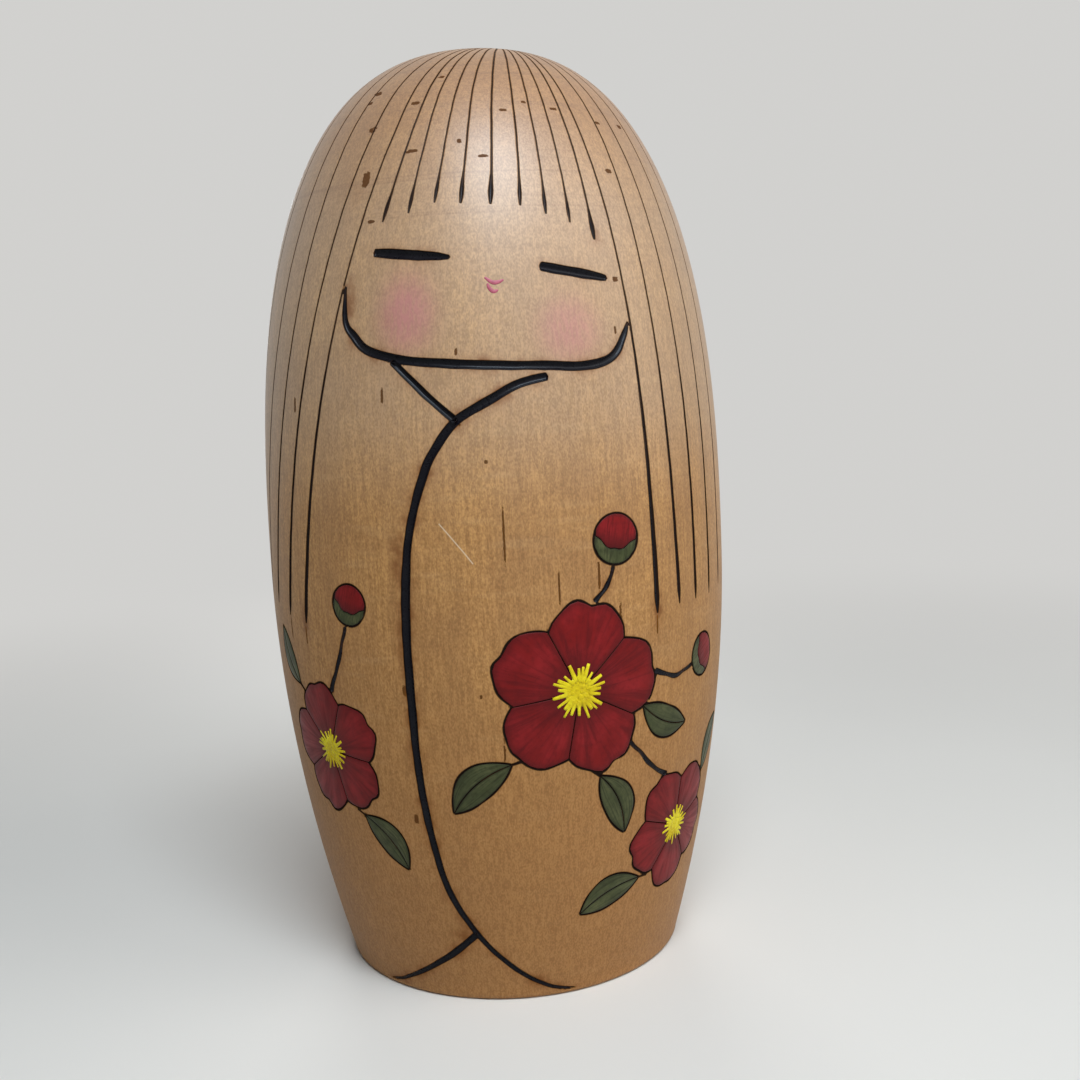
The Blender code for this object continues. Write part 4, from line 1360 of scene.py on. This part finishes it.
class Shader:
    """The nodes of a material or a world, with short calls for those used here."""

    def __init__(self, owner):
        owner.use_nodes = True
        self.owner = owner
        self.tree = owner.node_tree
        self.bsdf = self.tree.nodes.get("Principled BSDF")

    @property
    def coords(self):
        return self.node("ShaderNodeTexCoord").outputs["Object"]

    def node(self, kind, sockets=None, **settings):
        made = self.tree.nodes.new(kind)
        for key, value in settings.items():
            setattr(made, key, value)
        for key, value in (sockets or {}).items():
            self.feed(made.inputs[key], value)
        return made

    def feed(self, socket, value):
        if isinstance(value, bpy.types.NodeSocket):
            self.tree.links.new(value, socket)
        elif socket.type == "RGBA":
            socket.default_value = (*value, 1.0)
        else:
            socket.default_value = value

    def noise(self, scale, detail=3.0, roughness=0.55, distortion=0.0, place=None):
        mapping = self.node("ShaderNodeMapping", {"Vector": place or self.coords, "Scale": scale})
        sockets = {"Vector": mapping.outputs[0], "Scale": 1.0, "Detail": detail}
        sockets.update({"Roughness": roughness, "Distortion": distortion})
        return self.node("ShaderNodeTexNoise", sockets).outputs["Fac"]

    def field(self, name):
        return self.node("ShaderNodeAttribute", attribute_name=name).outputs["Fac"]

    def height(self):
        return self.node("ShaderNodeSeparateXYZ", {0: self.coords}).outputs["Z"]

    def math(self, operation, a, b):
        return self.node("ShaderNodeMath", {0: a, 1: b}, operation=operation).outputs[0]

    def times(self, a, b):
        return self.math("MULTIPLY", a, b)

    def larger(self, a, b):
        return self.math("MAXIMUM", a, b)

    def noises(self, rows):
        """The noises of some rows (scale, detail, weight), and their weighted sum."""
        made = []
        total = 0.0
        for scale, detail, weight in rows:
            made.append(self.noise(scale, detail))
            total = self.math("ADD", total, self.times(made[-1], weight))
        return made, total

    def seen(self):
        """1 for rays from the camera, also by way of a reflection, and 0 for light."""
        rays = self.node("ShaderNodeLightPath").outputs
        total = rays[SEEN_BY[0]]
        for kind in SEEN_BY[1:]:
            total = self.larger(total, rays[kind])
        return total

    def remap(self, value, *ends):
        """A value moved from one range to another, 0 to 1 unless given, and eased at both ends."""
        sockets = dict(enumerate((value, *ends)))
        return self.node("ShaderNodeMapRange", sockets, interpolation_type="SMOOTHSTEP").outputs[0]

    def mix(self, share, a, b, blend="MIX"):
        sockets = {0: share, 6: a, 7: b}
        return self.node("ShaderNodeMix", sockets, data_type="RGBA", blend_type=blend).outputs[2]

    def bump(self, height, strength, distance):
        sockets = {"Strength": strength, "Distance": distance, "Height": height}
        self.feed(self.bsdf.inputs["Normal"], self.node("ShaderNodeBump", sockets).outputs["Normal"])

    def join(self, share, first, second, output):
        """Two shaders mixed into the named output."""
        made = self.node("ShaderNodeMixShader", {0: share, 1: first, 2: second})
        self.feed(self.tree.nodes[output].inputs["Surface"], made.outputs[0])

    def finish(self, colour, roughness, **sockets):
        for name, value in dict(Base_Color=colour, Roughness=roughness, **sockets).items():
            self.feed(self.bsdf.inputs[name.replace("_", " ")], value)
        return self.owner


def new_shader(name):
    return Shader(bpy.data.materials.new(name))


def wood_material():
    shader = new_shader("turned_wood_dressed")
    height = shader.height()
    (fine, _, dust), grain = shader.noises(GRAIN)
    grain = shader.remap(grain, *GRAIN_RANGE)
    colour = shader.mix(grain, WOOD_DARK, WOOD_LIGHT)
    for scale, detail, low, high, strength, tint in WOOD_TINTS:
        share = shader.remap(shader.noise(scale, detail), low, high, 0.0, strength)
        colour = shader.mix(share, colour, tint)
    for none, full, strength, tint in HEIGHT_TINTS:
        colour = shader.mix(shader.remap(height, none, full, 0.0, strength), colour, tint)
    # Painted sheen: the face band is paled toward a bluish-white tint in place of the front light's broad
    # highlight
    face = shader.math("MINIMUM", shader.remap(height, *FACE_SHEEN_COMES), shader.remap(height, *FACE_SHEEN_GOES))
    colour = shader.mix(shader.times(face, FACE_SHEEN_STRENGTH), colour, FACE_SHEEN_TINT)
    ring = shader.remap(shader.noise(RING_SCALE, 2.0), *RING_RANGE)
    colour = shader.mix(shader.times(ring, shader.remap(height, *RINGS_COME)), colour, RING_TINT)
    weave = shader.remap(shader.noises(WEAVE)[1], *GRAIN_RANGE)
    colour = shader.mix(1.0, colour, shader.mix(weave, WEAVE_DARK, WEAVE_LIGHT), "MULTIPLY")
    blush = shader.times(shader.field("blush"), shader.remap(fine, 0.25, 0.65, 0.45, 0.8))
    colour = shader.mix(blush, colour, BLUSH_TINT)
    fleck = shader.math("ADD", shader.field("fleck"), shader.times(dust, 0.9))
    fleck = shader.remap(fleck, 0.80, 1.04, 0.0, 0.86)
    colour = shader.mix(fleck, colour, FLECK_TINT)
    pale = shader.remap(shader.field("pale"), 0.3, 0.9, 0.0, 0.8)
    colour = shader.mix(pale, colour, SCRATCH_TINT)
    patchy = shader.remap(shader.noise(SCORCH_SCALE), 0.3, 0.7, 0.45, 1.0)
    scorch = shader.times(shader.field("scorch"), patchy)
    colour = shader.mix(shader.remap(scorch, 0.0, 0.8, 0.0, 0.95), colour, SCORCH_TINT)
    char = shader.remap(shader.field("char"), 0.25, 0.95)
    colour = shader.mix(char, colour, CHAR_TINT)
    rough = shader.larger(shader.remap(grain, 0.0, 1.0, 0.60, 0.54), shader.times(char, 0.7))
    shader.bump(grain, 0.10, 0.05 * MM)
    dull = shader.larger(shader.field("char"), shader.times(fleck, 0.8))
    wax = shader.times(shader.remap(dull, *WAX_RANGE), shader.remap(height, *WAX_HEIGHTS))
    # The value that counts where no map can be used
    shader.bsdf.inputs["Specular IOR Level"].default_value = MIDDLE_WAX
    coat = shader.times(wax, WAX_COAT)
    return shader.finish(colour, rough, Specular_IOR_Level=wax, Coat_Weight=coat, Coat_Roughness=0.38)


def lacquer_material():
    shader = new_shader("black_lacquer_dressed")
    speck = shader.noise(SPECK_SCALE, 4.0)
    stretch = shader.noise(STRETCH_SCALE, 2.0)
    brown = shader.mix(shader.remap(stretch, 0.40, 0.70), *LACQUER_BROWN)
    black = shader.mix(shader.remap(stretch, 0.3, 0.7), *LACQUER_BLACK)
    colour = shader.mix(shader.remap(shader.field("thick"), 0.33, 0.6), brown, black)
    shader.bump(speck, 0.10, 0.05 * MM)
    rough = shader.remap(speck, 0.3, 0.75, 0.24, 0.38)
    return shader.finish(colour, rough, Specular_IOR_Level=0.14, Specular_Tint=LACQUER_SHEEN)


def lip_material():
    shader = new_shader("lip_paint_dressed")
    speck = shader.noise(SPECK_SCALE)
    colour = shader.mix(shader.remap(speck, 0.3, 0.7), *LIP_PAINT)
    shader.bump(speck, 0.2, 0.05 * MM)
    rough = shader.remap(speck, 0.3, 0.7, 0.4, 0.55)
    return shader.finish(colour, rough, Coat_Weight=0.2, Coat_Roughness=0.25)


def paint_material(name, dark, mid, light, root=None):
    """Brushed paint: streaks run outward, the edge is darker, and a colour may show toward the root."""
    shader = new_shader(name)
    out = shader.field("out")
    brush = shader.node("ShaderNodeCombineXYZ", {0: shader.field("aside"), 1: out, 2: shader.height()})
    streak = shader.noise(BRUSH_SCALE, 3.0, 0.6, 0.4, brush.outputs[0])
    colour = shader.mix(shader.remap(shader.noise(CLOUD_SCALE), 0.32, 0.68), mid, light)
    colour = shader.mix(shader.remap(streak, 0.38, 0.72, 0.0, 0.75), colour, dark)
    colour = shader.mix(shader.remap(shader.noise(SPECK_SCALE), 0.45, 0.75, 0.0, 0.4), colour, dark)
    colour = shader.mix(shader.remap(shader.field("edge"), 0.75, 1.0, 0.0, 0.7), colour, dark)
    if root:
        colour = shader.mix(shader.remap(out, 0.55, 0.05, 0.0, 0.7), colour, root)
    shader.bump(streak, 0.12, 0.06 * MM)
    return shader.finish(colour, shader.remap(streak, 0.3, 0.7, 0.38, 0.52), Specular_IOR_Level=0.18)


def floor_material():
    """A pale floor that goes over into the backdrop where the camera sees it far off."""
    shader = new_shader("studio_floor")
    cloud = shader.noise((3.0, 3.0, 3.0))
    colour = shader.mix(shader.remap(cloud, 0.3, 0.7), FLOOR_DARK, FLOOR_LIGHT)
    glow = shader.node("ShaderNodeEmission", {"Color": BACKDROP})
    length = shader.node("ShaderNodeVectorMath", {0: shader.coords}, operation="LENGTH")
    far = shader.times(shader.remap(length.outputs["Value"], *FLOOR_FADE), shader.seen())
    shader.join(far, shader.bsdf.outputs[0], glow.outputs[0], "Material Output")
    return shader.finish(colour, FLOOR_ROUGHNESS)


# The pieces

def build_wood(groups):
    points, faces, fields = make_wood(groups)
    wood = Mesh()
    wood.add(points, faces, **fields)
    wood.piece("wood", wood_material(), ["turned_body"])


def build_lacquer(hair, drawn):
    lacquer = lacquer_material()
    strands = Mesh()
    for line in hair:
        add_lacquer(strands, line, HAIR_COLUMNS)
    add_crown_spot(strands)
    strands.piece("hair_lacquer", lacquer, ["hair_lines"])
    for line in drawn:
        stroke = Mesh()
        add_lacquer(stroke, line, LINE_COLUMNS)
        stroke.piece(line.name + "_lacquer", lacquer, [line.name])


def build_lips():
    material = lip_material()
    for name, points in LIPS.items():
        shape = (curve(dropped(points)), table_width("lip", LIP_WIDTH), LIP_LIFT)
        line = make_line(name, "outline", *shape, 0.0, LIP_STEP, 7.0, 0.0)
        rows = [(share, level * line.depths) for share, level in LIP_SECTION]
        stroke = Mesh()
        stroke.add(stroke_rows(line, rows), tube_faces(len(line.points), len(rows)))
        stroke.piece(name + "_paint", material, [name])


def build_blossoms():
    """Petals, hearts, leaves and buds of the painted spray."""
    red, yellow, green = (paint_material(name + "_dressed", *colours) for name, colours in PAINTS.items())
    for name, blossom in BLOSSOMS.items():
        petals = Mesh()
        for petal in range(PETALS):
            add_coat(petals, *petal_grid(blossom, petal), seed=float(petal))
        petals.piece(name + "_petals", red, [name])
        build_heart(name, blossom, yellow)
    for name, leaf in LEAVES.items():
        blade = Mesh()
        for side in (-1.0, 1.0):
            add_coat(blade, *leaf_grid(leaf, side), seed=side)
        blade.piece(name + "_blade", green, [name])
    for name, bud in BUDS.items():
        red_coat, green_coat = bud_coats(bud)
        petals = Mesh()
        add_coat(petals, *red_coat)
        petals.piece(name + "_petals", red, [name])
        cup = Mesh()
        add_coat(cup, *green_coat)
        cup.piece(name + "_cup", green)


def build_heart(name, blossom, yellow):
    """Yellow middle with a ring of stamens over the petals."""
    turn, height, radius, _ = blossom
    centre = (turn, height)
    size = radius * HEART_SHARE
    core = size * HEART_CORE
    heart = Mesh()
    add_dab(heart, centre, 0.0, 0.0, core, PAINT_LIFT * 1.3)
    for i in range(STAMENS):
        angle = 2.0 * math.pi * i / STAMENS + 0.09 * math.sin(5.0 * i)
        reach = size * (STAMEN_REACH + 0.14 * math.sin(2.3 * i + turn))
        start = (core * STAMEN_START * math.cos(angle), core * STAMEN_START * math.sin(angle))
        end = (reach * math.cos(angle + 0.05), reach * math.sin(angle + 0.05))
        width = radius * (STAMEN_WIDTH + 0.010 * math.sin(3.7 * i))
        add_streak(heart, centre, start, end, width, PAINT_LIFT * 0.9, PAINT_LIFT)
    for i in range(HEART_DABS):
        angle = DAB_TURN * i
        out = core * DAB_SPREAD * math.sqrt((i + 0.5) / HEART_DABS)
        dab = core * (DAB_SIZE + 0.03 * math.sin(4.1 * i))
        place = (out * math.cos(angle), out * math.sin(angle))
        add_dab(heart, centre, *place, dab, PAINT_LIFT * 0.8, PAINT_LIFT * 1.2)
    heart.piece(name + "_stamens", yellow, [name + "_heart"])


# Studio

def add_light(name, place, size, power, colour):
    lamp = bpy.data.lights.new(name, "AREA")
    lamp.shape = "RECTANGLE"
    lamp.size, lamp.size_y = size
    lamp.energy = power
    lamp.color = colour
    made = bpy.data.objects.new(name, lamp)
    turn = (Vector(LIT_PLACE) - Vector(place)).to_track_quat("-Z", "Y")
    made.matrix_world = Matrix.Translation(place) @ turn.to_matrix().to_4x4()
    bpy.context.collection.objects.link(made)


def add_floor():
    angle = circle(FLOOR_SIDES)
    level = np.zeros(FLOOR_SIDES)
    points = [np.zeros((1, 3))]
    points += [np.column_stack((r * np.cos(angle), r * np.sin(angle), level)) for r in FLOOR_RINGS]
    faces = [[0, 1 + i, 1 + (i + 1) % FLOOR_SIDES] for i in range(FLOOR_SIDES)]
    faces += ring_faces([1 + ring * FLOOR_SIDES for ring in range(len(FLOOR_RINGS))], FLOOR_SIDES)
    mesh = bpy.data.meshes.new("floor")
    mesh.from_pydata(np.concatenate(points).tolist(), [], faces)
    mesh.materials.append(floor_material())
    made = bpy.data.objects.new("floor", mesh)
    bpy.context.collection.objects.link(made)


def add_world():
    """A faint sky for light, and the backdrop for what the camera sees."""
    shader = Shader(bpy.data.worlds.new("studio"))
    bpy.context.scene.world = shader.owner
    sky = shader.tree.nodes["Background"]
    shader.feed(sky.inputs["Color"], SKY)
    shader.feed(sky.inputs["Strength"], SKY_STRENGTH)
    backdrop = shader.node("ShaderNodeBackground", {"Color": BACKDROP})
    shader.join(shader.seen(), sky.outputs[0], backdrop.outputs[0], "World Output")


def add_camera():
    camera = bpy.data.cameras.new("camera")
    camera.lens = CAMERA_LENS
    camera.sensor_width = SENSOR
    camera.sensor_fit = "HORIZONTAL"
    camera.clip_start = 0.01
    made = bpy.data.objects.new("camera", camera)
    bpy.context.collection.objects.link(made)
    level = math.cos(CAMERA_PITCH)
    forward = Vector((level * math.sin(CAMERA_YAW), level * math.cos(CAMERA_YAW), -math.sin(CAMERA_PITCH)))
    right = Vector((math.cos(CAMERA_YAW), -math.sin(CAMERA_YAW), 0.0))
    up = right.cross(forward)
    rolled_right = right * math.cos(CAMERA_ROLL) + up * math.sin(CAMERA_ROLL)
    rolled_up = up * math.cos(CAMERA_ROLL) - right * math.sin(CAMERA_ROLL)
    turn = Matrix((rolled_right, rolled_up, -forward)).transposed().to_4x4()
    made.matrix_world = Matrix.Translation((0.0, -CAMERA_BACK, CAMERA_HEIGHT)) @ turn
    bpy.context.scene.camera = made


def build():
    hair = hair_lines()
    drawn = drawn_lines()
    outlines = outline_lines()
    build_wood({"hair": hair, "drawn": drawn, "outline": outlines})
    build_lacquer(hair, drawn)
    build_lips()
    build_blossoms()
    add_floor()
    add_world()
    add_camera()
    for name, lamp in LIGHTS.items():
        add_light(name, *lamp)
    bpy.context.scene.view_settings.view_transform = "Standard"


build()
